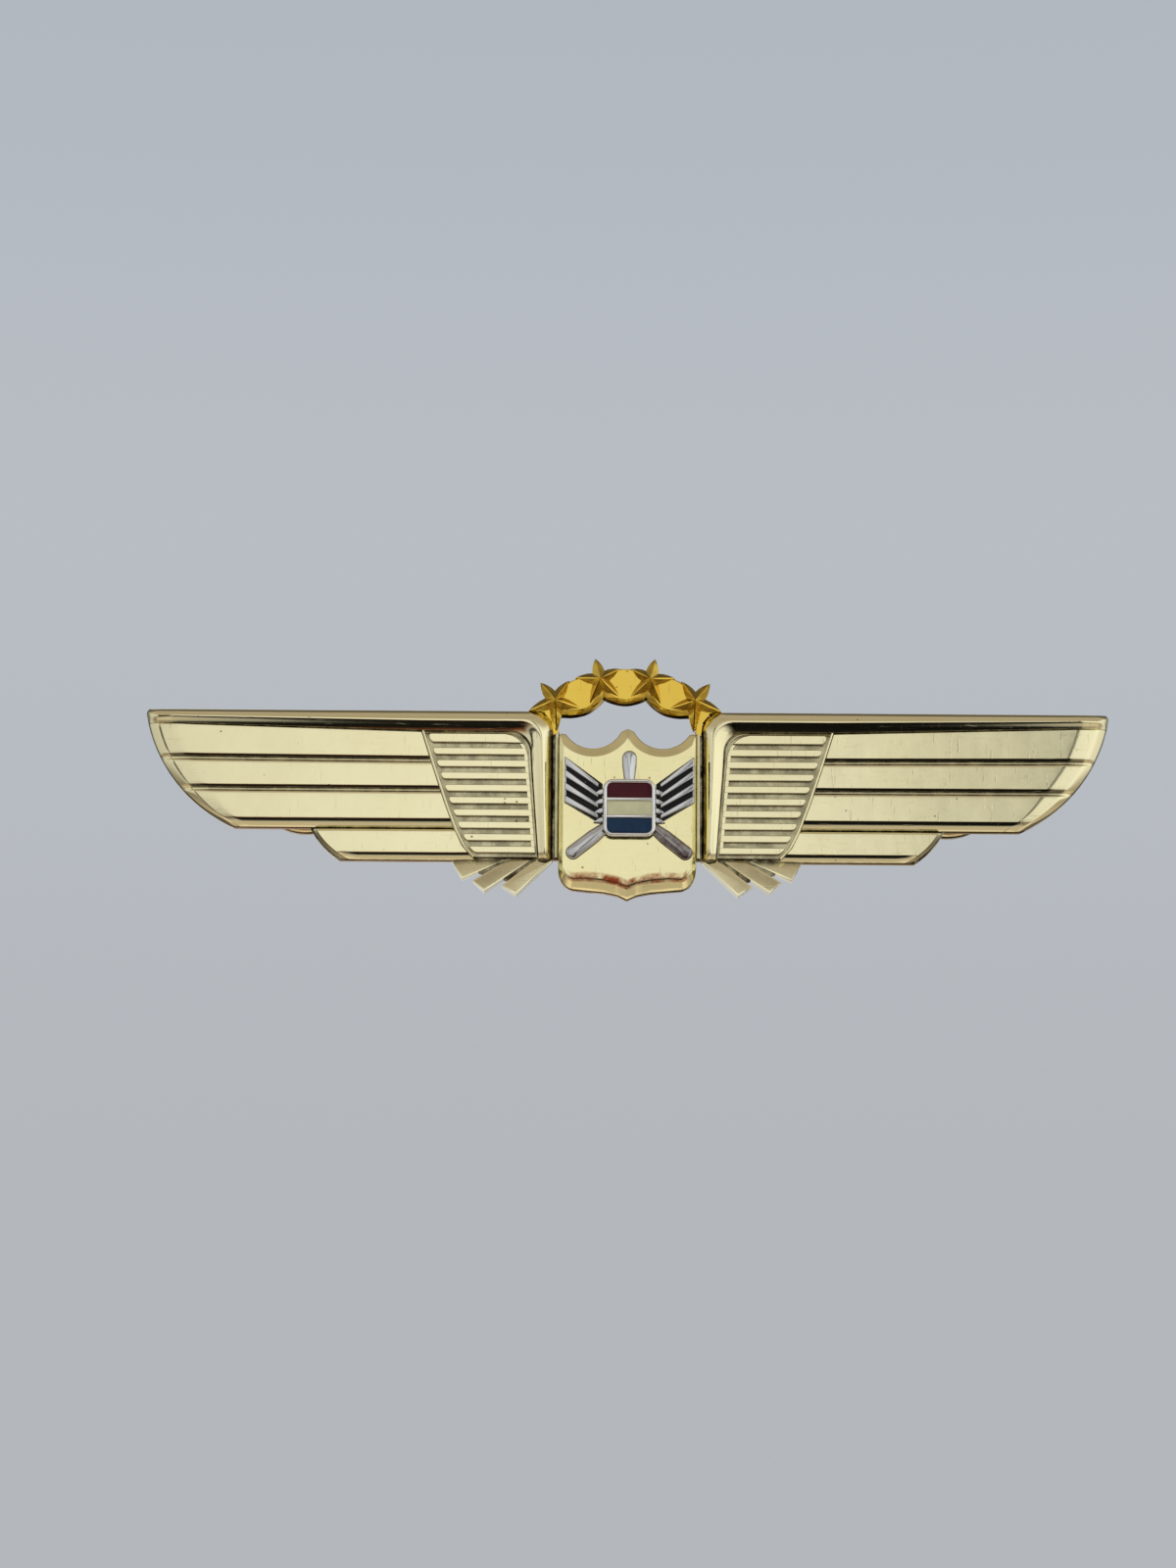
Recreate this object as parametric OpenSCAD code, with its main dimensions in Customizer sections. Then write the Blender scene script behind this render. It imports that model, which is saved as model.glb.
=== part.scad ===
// Pilot wings pin with two clutch-back posts. Millimetres.
// X runs across the wings, the front faces -Y, the garment side is +Y and Z is up.
// The origin is on the back plane, midway between the two posts.

/* [Overall] */
// Width across both wing tips
span = 80; // [77:0.5:83]
// Distance of each post from the middle
post_x = 27; // [22:0.5:29]

/* [Relief, as heights in front of the back plane] */
// Thickness of the struck plate under the feathers
plate_t = 1.1; // [0.9:0.1:1.2]
// Height of the top feather, the highest of the steps
feather_h = 1.8; // [1.7:0.05:1.9]
// Drop from each feather to the one below it
feather_step = 0.08; // [0.04:0.02:0.12]
// Height of the shield's face
shield_h = 2.6; // [2.5:0.1:2.8]
// Height of the silver device above the shield's face
device_h = 0.5; // [0.4:0.05:0.6]

/* [Wings] */
// Radius of the half-round edge
rim_r = 0.75; // [0.6:0.05:0.8]
// Number of grooves across each inner panel
groove_count = 9; // [7:1:9]
// Width of those grooves
groove_w = 0.45; // [0.35:0.05:0.5]

/* [Stars] */
// Radius of the circle that the stars stand on
arc_r = 9.28; // [9.1:0.05:9.4]
// Angle between neighbouring stars
star_pitch = 25.8; // [25:0.2:26.6]
// Length of a star's points from its centre
star_r = 2.15; // [1.9:0.05:2.2]

/* [Posts and clutches] */
// Radius of a post
post_r = 0.6; // [0.55:0.05:0.6]
// Length of a post behind the back plane
post_len = 9.2; // [8.8:0.1:10]
// Radius of a clutch's cup
cup_r = 4.75; // [4.6:0.05:5]
// Room for the cloth, between the back plane and the clutch
cloth_gap = 3.4; // [3.4:0.05:3.5]

/* [Output] */

/* [Hidden] */
$fn = 64;
eps = 0.01;
half = span / 2;
tip_r = 12.74;
tip_x = half - 12.54;
tip_z = 6.65;
top_z = 4.85;
bottom_z = -5.06;
low_z = -7.74;
low_r = 6.5;
low_x = 20.4;
low_cz = -2.16;
root_x = 6.15;
root_r = 1.6;
panel_x = 7.95;
rim_y = 1.55;
shield_x = 5.67;
bridge_h = 0.8;
arc_z = -1.6;
arc_h = 1.9;
device_z = -3.4;
plaque_w = 4.3;
plaque_tall = 4.8;
plaque_rim = 0.34;
bar = 0.22;
band_tall = (plaque_tall - 2 * plaque_rim - 2 * bar) / 3;
hinge_x = 1.9;
hinge_y = 2.6;
gold = [0.83, 0.76, 0.52];
deep_gold = [0.80, 0.62, 0.22];
silver = [0.66, 0.66, 0.64];
nickel = [0.72, 0.70, 0.64];

// Extrudes an X-Z outline from one height to another in front of the back plane.
module front(low, high) {
    translate([0, -low, 0])
        rotate([90, 0, 0])
            linear_extrude(height = high - low)
                children();
}

// Turns a radius-and-height profile about the +Y axis.
module turned() {
    rotate([-90, 0, 0])
        rotate_extrude()
            children();
}

module both_sides() {
    children();
    mirror([1, 0, 0])
        children();
}

module box2(x0, x1, z0, z1) {
    translate([x0, z0])
        square([x1 - x0, z1 - z0]);
}

// A round bar from one point of the X-Z plane to another, at the given height.
module bar(x0, z0, x1, z1, r, h) {
    len = norm([x1 - x0, z1 - z0]);
    translate([x0, -h, z0])
        rotate([0, 90 - atan2(z1 - z0, x1 - x0), 0])
            cylinder(r = r, h = len);
}

// A bent round bar in the X-Z plane, from angle a over a sweep of s degrees.
module bent_bar(cx, cz, ring, r, h, a, s) {
    translate([cx, -h, cz])
        rotate([90, 0, 0])
            rotate([0, 0, a])
                rotate_extrude(angle = s)
                    translate([ring, 0])
                        circle(r = r);
}

// --- wings ---

module main_feathers(inset) {
    intersection() {
        box2(12, half - inset, bottom_z + inset, top_z - inset);
        union() {
            translate([tip_x, tip_z])
                circle(r = tip_r - inset, $fn = 180);
            box2(12, tip_x, bottom_z, top_z);
        }
    }
}

module low_feather(inset) {
    intersection() {
        box2(10, 30, low_z + inset, bottom_z + 1);
        union() {
            translate([low_x, low_cz])
                circle(r = low_r - inset);
            box2(10, low_x, low_z, 0);
        }
    }
}

module root_outline() {
    translate([root_x + root_r, top_z - root_r])
        circle(r = root_r);
    box2(root_x, 13, low_z, top_z - root_r);
    box2(root_x + root_r, 13, low_z, top_z);
}

module wing_outline() {
    main_feathers(0);
    low_feather(0);
    root_outline();
}

// The region right of the slanted divider, shifted by d.
module beyond_divider(d) {
    polygon([[16.9 + d, 4], [15.9 + d, -0.1], [14.15 + d, -5.06],
             [13.3 + d, -6.7], [12.2 + d, -8], [50, -8], [50, 4]]);
}

// One long feather, between two heights of the wing.
module feather(index, z0, z1) {
    front(plate_t - eps, feather_h - index * feather_step)
        intersection() {
            main_feathers(1.45);
            beyond_divider(0.35);
            box2(12, half, z0, z1);
        }
}

module inner_panel() {
    front(plate_t - eps, feather_h)
        difference() {
            box2(panel_x, 17.5, -7.15, 2.95);
            beyond_divider(-0.2);
            for (i = [0 : groove_count - 1])
                box2(panel_x + 0.35, 18, 1.86 - 1.03 * i - groove_w / 2,
                     1.86 - 1.03 * i + groove_w / 2);
            difference() {
                box2(panel_x - 1, panel_x + 2, 0.95, 4);
                translate([panel_x + 2, 0.95])
                    circle(r = 2);
            }
        }
}

module divider_ridge() {
    front(plate_t - eps, feather_h + 0.1)
        intersection() {
            difference() {
                beyond_divider(-0.12);
                beyond_divider(0.2);
            }
            box2(12, 18, -7.3, 3.3);
        }
}

module wing_rim() {
    top_bar = top_z - rim_r;
    side_bar = root_x + rim_r;
    // top edge, root edge and the bend between them
    bar(root_x + root_r, top_bar, half - 1.6, top_bar, rim_r, rim_y);
    bar(side_bar, low_z + 0.02, side_bar, top_z - root_r, rim_r, rim_y);
    bent_bar(root_x + root_r, top_z - root_r, root_r - rim_r, rim_r, rim_y, 90, 90);
    // flat shoulders inside the edge
    front(plate_t - eps, rim_y + 0.2)
        box2(side_bar, panel_x - 0.25, low_z + 0.1, top_z - root_r);
    front(plate_t - eps, rim_y + 0.2)
        box2(side_bar + 1, half - 4, 3.3, top_bar);
}

// The band that follows the tip, with a round outer edge.
module tip_band() {
    intersection() {
        union() {
            bent_bar(tip_x, tip_z, tip_r - rim_r, rim_r, rim_y, -64, 57);
            front(plate_t - eps, rim_y)
                difference() {
                    main_feathers(0.25);
                    translate([tip_x, tip_z])
                        circle(r = tip_r - 1.3, $fn = 180);
                    box2(0, tip_x, -20, 20);
                }
        }
        front(0, 4)
            main_feathers(0);
    }
}

module half_wing() {
    front(0, plate_t)
        wing_outline();
    feather(0, 0.8, 3.45);
    feather(1, -1.8, 0.37);
    feather(2, -4.45, -2.2);
    front(plate_t - eps, feather_h - 3 * feather_step)
        intersection() {
            low_feather(0.55);
            beyond_divider(0.35);
            box2(12, 30, -7.2, -5.5);
        }
    front(plate_t - eps, rim_y - 0.2)
        intersection() {
            low_feather(0.2);
            beyond_divider(0.35);
            box2(12, 30, -7.5, -7.15);
        }
    inner_panel();
    divider_ridge();
    wing_rim();
    tip_band();
}

// Three short feathers under the root, as long bars cut square at their ends.
module tail_feather(h, points) {
    front(0, h)
        polygon(points);
}

module tail_fan() {
    tail_feather(1.9, [[6.2, -7.6], [6.2, -7.78], [9.13, -10.63], [10.3, -9.88],
                       [7.6, -7.6]]);
    tail_feather(1.7, [[7.95, -7.6], [11.75, -10.35], [12.7, -9.46], [9.75, -7.6]]);
    tail_feather(1.5, [[10.1, -7.6], [13.6, -9.3], [14.55, -7.6]]);
    front(0, 0.9)
        polygon([[6.9, -7.6], [8.9, -9.5], [10.6, -9.2], [12.6, -8.6], [13.4, -7.6]]);
}

module wing_plate() {
    color(gold) {
        both_sides() {
            half_wing();
            tail_fan();
        }
        // web behind the shield, which joins the two wings
        front(0, bridge_h)
            box2(-7, 7, -7.6, 1.4);
    }
}

// --- shield ---

module shield_outline() {
    difference() {
        union() {
            box2(-shield_x, shield_x, -10.3, 3.24);
            polygon([[-4.1, -10], [-4.1, -10.3], [-1.1, -10.55], [0, -11.06],
                     [1.1, -10.55], [4.1, -10.3], [4.1, -10]]);
        }
        both_sides()
            difference() {
                box2(shield_x - 1.6, 7, -12, -8.7);
                translate([shield_x - 1.6, -8.7])
                    circle(r = 1.6);
                box2(0, shield_x - 1.59, -12, -8);
            }
        both_sides() {
            translate([2.89, 4.22])
                circle(r = 2.66);
            box2(3, 7, 2.75, 4);
        }
    }
}

// The slope from a rim of the given radius down to the shield's edge.
module shield_bevels() {
    both_sides() {
        translate([2.89, -shield_h - eps, 4.22])
            rotate([-90, 0, 0])
                cylinder(r1 = 3.55, r2 = 2.6, h = 0.8);
        translate([shield_x, -shield_h, -12])
            linear_extrude(height = 18)
                polygon([[-0.4, -eps], [eps, 0.7], [1, 0.7], [1, -eps]]);
        // along the foot, which falls 3 degrees towards the middle
        translate([0, -shield_h, -10.75])
            rotate([0, -3, 0])
                rotate([90, 0, 90])
                    translate([0, 0, -1])
                        linear_extrude(height = 8)
                            polygon([[-eps, 0.95], [0.75, 0.15], [0.75, -1], [-eps, -1]]);
    }
}

module centre_shield() {
    color(gold)
        difference() {
            front(bridge_h, shield_h)
                shield_outline();
            shield_bevels();
        }
}

// --- stars ---

module star_shape(r) {
    inner = r * 0.42;
    polygon([for (i = [0 : 9])
        let (a = 90 + 36 * i, q = i % 2 == 0 ? r : inner)
            [q * cos(a), q * sin(a)]]);
}

module at_arc(a) {
    translate([arc_r * sin(a), 0, arc_z + arc_r * cos(a)])
        rotate([0, a, 0])
            children();
}

module one_star() {
    front(0.5, arc_h)
        star_shape(star_r);
    // a five-sided peak
    translate([0, -arc_h + eps, 0])
        rotate([90, 0, 0])
            rotate([0, 0, 90])
                cylinder(r1 = star_r * 0.62, r2 = 0.06, h = 0.6, $fn = 5);
}

module star_flat() {
    front(0.5, arc_h + 0.1)
        scale([1, 0.86])
            circle(r = 1.72, $fn = 6);
}

module arc_band() {
    reach = star_pitch * 1.5;
    front(0.5, arc_h - 0.3)
        translate([0, arc_z])
            intersection() {
                difference() {
                    circle(r = arc_r + 0.72, $fn = 180);
                    circle(r = arc_r - 1.25, $fn = 180);
                }
                polygon([[0, 0], [14 * sin(reach), 14 * cos(reach)], [0, 20],
                         [-14 * sin(reach), 14 * cos(reach)]]);
            }
}

module star_arc() {
    color(deep_gold)
        difference() {
            union() {
                arc_band();
                for (i = [-1.5 : 1 : 1.5])
                    at_arc(i * star_pitch)
                        one_star();
                for (i = [-1 : 1])
                    at_arc(i * star_pitch)
                        star_flat();
                both_sides()
                    front(bridge_h, 1.6)
                        box2(shield_x + 0.05, root_x - 0.05, 0.4, 4.4);
            }
            // clear of the wing roots
            both_sides()
                front(-1, 5)
                    translate([0.04 - 0.09, 0.05])
                        root_outline();
        }
}

// --- silver device ---

module blade(a, reach, spine) {
    translate([0, -shield_h, device_z])
        rotate([0, a, 0]) {
            rotate([90, 0, 0])
                linear_extrude(height = device_h - 0.1) {
                    box2(-0.45, 0.45, 0, 2.4);
                    polygon([[-0.45, 2.2], [-0.61, 3], [-0.61, reach],
                             [0.61, reach], [0.61, 3], [0.45, 2.2]]);
                    translate([0, reach])
                        circle(r = 0.61);
                }
            // a rounded spine, clear of the plaque
            translate([0, 0.1, spine])
                intersection() {
                    cylinder(r = 0.65, h = reach - spine + 0.1);
                    translate([-1, -2, 0])
                        cube([2, 2, reach - spine + 0.1]);
                }
        }
}

module propeller() {
    color(silver)
        difference() {
            union() {
                blade(0, 4.3, 2.55);
                blade(128, 5.85, 3.05);
                blade(-128, 5.85, 3.05);
                front(shield_h, shield_h + device_h)
                    translate([0, device_z])
                        circle(r = 1.7);
            }
            front(-2, shield_h)
                box2(-10, 10, -12, 6);
        }
}

// Four straight feathers, slanting up and out, on a thin backing.
module fan_field(inset) {
    polygon([[2.55, -1.5 - inset], [5.25, 0.95 - inset], [5.25, -2.85 + inset],
             [2.55, -4.6 + inset]]);
}

module fan_bars() {
    for (i = [0 : 3])
        polygon([[2.75, -1.62 - 0.86 * i], [5.25, 0.95 - 1.08 * i],
                 [5.25, 0.35 - 1.08 * i], [2.75, -2.0 - 0.86 * i]]);
}

module fan() {
    color(silver) {
        front(shield_h, shield_h + 0.15)
            fan_field(0);
        front(shield_h + 0.1, shield_h + device_h - 0.05)
            fan_bars();
    }
}

module fan_enamel() {
    color([0.03, 0.03, 0.035])
        front(shield_h + 0.15, shield_h + 0.32)
            difference() {
                fan_field(0.05);
                fan_bars();
            }
}

// A rectangle about the origin with rounded corners.
module rounded_box(w, h, r) {
    difference() {
        box2(-w / 2, w / 2, -h / 2, h / 2);
        both_sides() {
            corner_cut(w / 2 - r, h / 2 - r, r);
            mirror([0, 1, 0])
                corner_cut(w / 2 - r, h / 2 - r, r);
        }
    }
}

module corner_cut(x, z, r) {
    translate([x, z])
        difference() {
            square(r + 1);
            circle(r = r);
        }
}

// One of the three bands across the plaque's field: 1 is the top one, 0 the middle, -1 the foot.
module band_field(place) {
    z = place * (band_tall + bar);
    intersection() {
        rounded_box(plaque_w - 2 * plaque_rim, plaque_tall - 2 * plaque_rim, 0.5);
        box2(-3, 3, z - band_tall / 2, z + band_tall / 2);
    }
}

module plaque() {
    base = shield_h + device_h;
    color(silver)
        translate([0, 0, device_z])
            difference() {
                front(base, base + device_h)
                    rounded_box(plaque_w, plaque_tall, 0.8);
                front(base + 0.2, base + 1)
                    for (place = [-1 : 1])
                        band_field(place);
            }
}

module plaque_enamel(place, tone) {
    base = shield_h + device_h;
    color(tone)
        translate([0, 0, device_z])
            front(base + 0.2, base + 0.4)
                band_field(place);
}

// --- posts and clutches ---

module post() {
    waist = post_r - 0.18;
    tail = post_r - 0.08;
    color(nickel)
        turned()
            polygon([[0, 0], [1.7, 0], [1.7, 0.3], [1.4, 0.6], [post_r, 0.6],
                     [post_r, 3.5], [waist, 3.7], [waist, 5.1], [tail, 5.2],
                     [tail, post_len - 1.3], [0.12, post_len - 0.05],
                     [0, post_len]]);
}

module clutch_cup() {
    y = cloth_gap;
    color(nickel)
        turned()
            difference() {
                union() {
                    translate([post_r + 0.35, y])
                        square([cup_r - 0.4 - post_r - 0.35, 0.35]);
                    translate([cup_r - 0.4, y])
                        square([0.4, 1.5]);
                    translate([cup_r - 0.2, y + 1.5])
                        circle(r = 0.2, $fn = 24);
                }
                translate([cup_r - 0.4, y - eps])
                    difference() {
                        square(1);
                        translate([0, 0.4 + eps])
                            circle(r = 0.4);
                        translate([0, 0.4 + eps])
                            square(1);
                    }
            }
}

module clutch_insert() {
    y = cloth_gap;
    color(nickel) {
        translate([0, y + 0.4, 0])
            turned()
                translate([post_r + 0.35, 0])
                    square([cup_r - 0.5 - post_r - 0.35, 0.25]);
        // two upright cheeks
        for (side = [-1, 1])
            translate([0, 0, side * 2.15])
                rotate([90, 0, 0])
                    rotate([-90, 0, 0])
                        cheek();
        for (side = [-1, 1])
            translate([side * hinge_x, y + hinge_y, -2.3])
                cylinder(r = 0.3, h = 4.6);
    }
}

// A cheek lies in the X-Y plane, 0.3 thick.
module cheek() {
    y = cloth_gap;
    translate([0, 0, -0.15])
        linear_extrude(height = 0.3) {
            translate([-hinge_x - 0.7, y + 0.5])
                square([2 * hinge_x + 1.4, hinge_y - 0.5]);
            for (side = [-1, 1])
                translate([side * hinge_x, y + hinge_y])
                    circle(r = 0.7);
        }
}

module clutch_spring() {
    y = cloth_gap;
    color([0.75, 0.73, 0.66]) {
        translate([0, y + 0.65, 0])
            turned()
                translate([1.15, 0])
                    square([0.75, 0.12]);
        for (side = [-1, 1])
            translate([side * 1.62 - 0.06, y + 0.65, -0.9])
                cube([0.12, 0.85, 1.8]);
    }
}

// A squeeze tab on the +X side: a barrel, a jaw beside the post and a rounded wing.
module tab() {
    y = cloth_gap;
    color(nickel)
        difference() {
            union() {
                translate([hinge_x, y + hinge_y, -1.85])
                    cylinder(r = 0.65, h = 3.7);
                translate([0, 0, -1.2])
                    linear_extrude(height = 2.4)
                        polygon([[1.45, y + 2.9], [0.68, y + 1.4], [0.68, y + 1.05],
                                 [1.0, y + 1.05], [1.9, y + 2.1]]);
                translate([0, 0, -1.75])
                    linear_extrude(height = 3.5)
                        polygon([[2.0, y + 2.9], [3.3, y + 2.75], [3.3, y + 2.4],
                                 [2.2, y + 2.4]]);
                tab_wing();
            }
            translate([hinge_x, y + hinge_y, -3])
                cylinder(r = 0.36, h = 6);
        }
}

// The finger wing: a sheet bent back to a flared end, rounded at its corners.
module tab_wing() {
    y = cloth_gap;
    intersection() {
        translate([0, 0, -3])
            linear_extrude(height = 6)
                polygon([[2.95, y + 2.4], [4.3, y + 2.5], [5.75, y + 5.2],
                         [5.4, y + 5.35], [4.05, y + 2.85], [2.95, y + 2.75]]);
        translate([0, y - 1, 0])
            turned() {
                // keeps the wing inside a round outline seen from behind
                square([5.95, 9]);
            }
        translate([2.9, y, 0])
            rotate([-90, 0, 0])
                scale([1, 0.85, 1])
                    cylinder(r = 3.1, h = 9);
    }
}

module at_post(side) {
    translate([side * post_x, 0, 0])
        children();
}

module outer_tab(side) {
    at_post(side)
        tab();
}

module inner_tab(side) {
    at_post(side)
        mirror([1, 0, 0])
            tab();
}

wing_plate();
centre_shield();
star_arc();
propeller();
mirror([1, 0, 0]) fan();  // left_fan
fan();  // right_fan
mirror([1, 0, 0]) fan_enamel();  // left_fan_enamel
fan_enamel();  // right_fan_enamel
plaque();
plaque_enamel(1, [0.24, 0.03, 0.06]);  // enamel_red
plaque_enamel(0, [0.72, 0.69, 0.55]);  // enamel_cream
plaque_enamel(-1, [0.05, 0.12, 0.21]);  // enamel_navy
at_post(-1) post();  // left_post
at_post(1) post();  // right_post
at_post(-1) clutch_cup();  // left_clutch_cup
at_post(-1) clutch_insert();  // left_clutch_insert
at_post(-1) clutch_spring();  // left_clutch_spring
inner_tab(-1);  // left_tab_outer
outer_tab(-1);  // left_tab_inner
at_post(1) clutch_cup();  // right_clutch_cup
at_post(1) clutch_insert();  // right_clutch_insert
at_post(1) clutch_spring();  // right_clutch_spring
outer_tab(1);  // right_tab_outer
inner_tab(1);  // right_tab_inner
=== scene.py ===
import math

import bmesh
import bpy
from mathutils import Vector, Matrix


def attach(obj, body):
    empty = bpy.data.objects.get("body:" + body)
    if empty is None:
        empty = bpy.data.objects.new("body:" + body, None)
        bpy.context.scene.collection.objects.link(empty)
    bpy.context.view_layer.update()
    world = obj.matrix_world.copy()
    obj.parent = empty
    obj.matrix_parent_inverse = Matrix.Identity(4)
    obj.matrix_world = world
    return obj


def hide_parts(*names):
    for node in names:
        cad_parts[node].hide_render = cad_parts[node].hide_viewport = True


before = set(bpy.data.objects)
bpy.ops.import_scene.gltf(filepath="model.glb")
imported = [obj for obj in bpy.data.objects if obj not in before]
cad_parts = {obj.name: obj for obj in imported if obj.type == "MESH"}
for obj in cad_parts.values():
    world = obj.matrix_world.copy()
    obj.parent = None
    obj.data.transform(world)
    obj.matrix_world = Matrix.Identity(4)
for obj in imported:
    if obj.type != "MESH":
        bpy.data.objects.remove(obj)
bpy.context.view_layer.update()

MM = 0.001

# ---- camera

CAMERA_ELEVATION = -10.0
CAMERA_DISTANCE = 0.280
FRAME_HEIGHT = 0.1296
ROLL = 0.4
AIM = Vector((-0.00326, -0.0018, -0.00136))


def make_camera():
    """A long lens in front of the pin, a little below it."""
    el = math.radians(CAMERA_ELEVATION)
    back = Vector((0, -math.cos(el), math.sin(el)))
    data = bpy.data.cameras.new("camera")
    data.sensor_width = 36
    data.lens = 36 * CAMERA_DISTANCE / FRAME_HEIGHT
    data.clip_start = 0.005
    data.clip_end = 20
    cam = bpy.data.objects.new("camera", data)
    bpy.context.scene.collection.objects.link(cam)
    cam.location = AIM + back * CAMERA_DISTANCE
    turn = (-back).to_track_quat("-Z", "Y").to_matrix().to_4x4()
    roll = Matrix.Rotation(math.radians(ROLL), 4, "Z")
    cam.rotation_euler = (turn @ roll).to_euler()
    bpy.context.scene.camera = cam


make_camera()

# ---- outlines


def arc(cx, cz, r, a0, a1, n):
    """Points on a circle from angle a0 to a1, in degrees."""
    out = []
    for i in range(n + 1):
        a = math.radians(a0 + (a1 - a0) * i / n)
        out.append((cx + r * math.cos(a), cz + r * math.sin(a)))
    return out


def ccw(pts):
    """The outline counter-clockwise."""
    area = sum(a[0] * b[1] - b[0] * a[1] for a, b in zip(pts, pts[1:] + pts[:1]))
    return pts if area > 0 else pts[::-1]


def clean(pts, tol=1e-4):
    """The outline without repeated points."""
    out = []
    for p in pts:
        if not out or math.dist(p, out[-1]) > tol:
            out.append(p)
    if math.dist(out[0], out[-1]) <= tol:
        out.pop()
    return out


def heading(a, b):
    """The direction from a to b."""
    return Vector((b[0] - a[0], b[1] - a[1])).normalized()


def mitre(u, v, least):
    """A unit step to the left, stretched to keep its distance where a path turns from u to v. The
    stretch is 1 / least at most."""
    nu, nv = Vector((-u.y, u.x)), Vector((-v.y, v.x))
    m = nu + nv
    m = nu if m.length < 1e-6 else m.normalized()
    k = max(m.dot(nu), least)
    return m.x / k, m.y / k


def offset(pts, d):
    """A counter-clockwise outline moved inwards by d."""
    out = []
    for a, b, c in zip(pts[-1:] + pts[:-1], pts, pts[1:] + pts[:1]):
        mx, mz = mitre(heading(a, b), heading(b, c), 0.35)
        out.append((b[0] + mx * d, b[1] + mz * d))
    return out


def circle(cx, cz, r, n):
    """n points on a whole circle."""
    return arc(cx, cz, r, 0, 360 * (n - 1) / n, n - 1)


def turned(pts, degrees, cz):
    """Turned clockwise, as seen from the front, and raised by cz."""
    c, s = math.cos(math.radians(-degrees)), math.sin(math.radians(-degrees))
    return [(x * c - z * s, cz + x * s + z * c) for x, z in pts]


def clamp(x, high=1.0):
    """x kept between 0 and high."""
    return min(max(x, 0), high)


def whole_turn(n):
    """n angles evenly round a circle, in radians."""
    return [2 * math.pi * i / n for i in range(n)]


def box(x0, z0, x1, z1):
    return [(x0, z0), (x1, z0), (x1, z1), (x0, z1)]


# ---- meshes


def walls(n, rings):
    """The quads between rings of n points each, numbered in order."""
    return [(r * n + i, r * n + (i + 1) % n, (r + 1) * n + (i + 1) % n, (r + 1) * n + i)
            for r in range(rings - 1) for i in range(n)]


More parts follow.
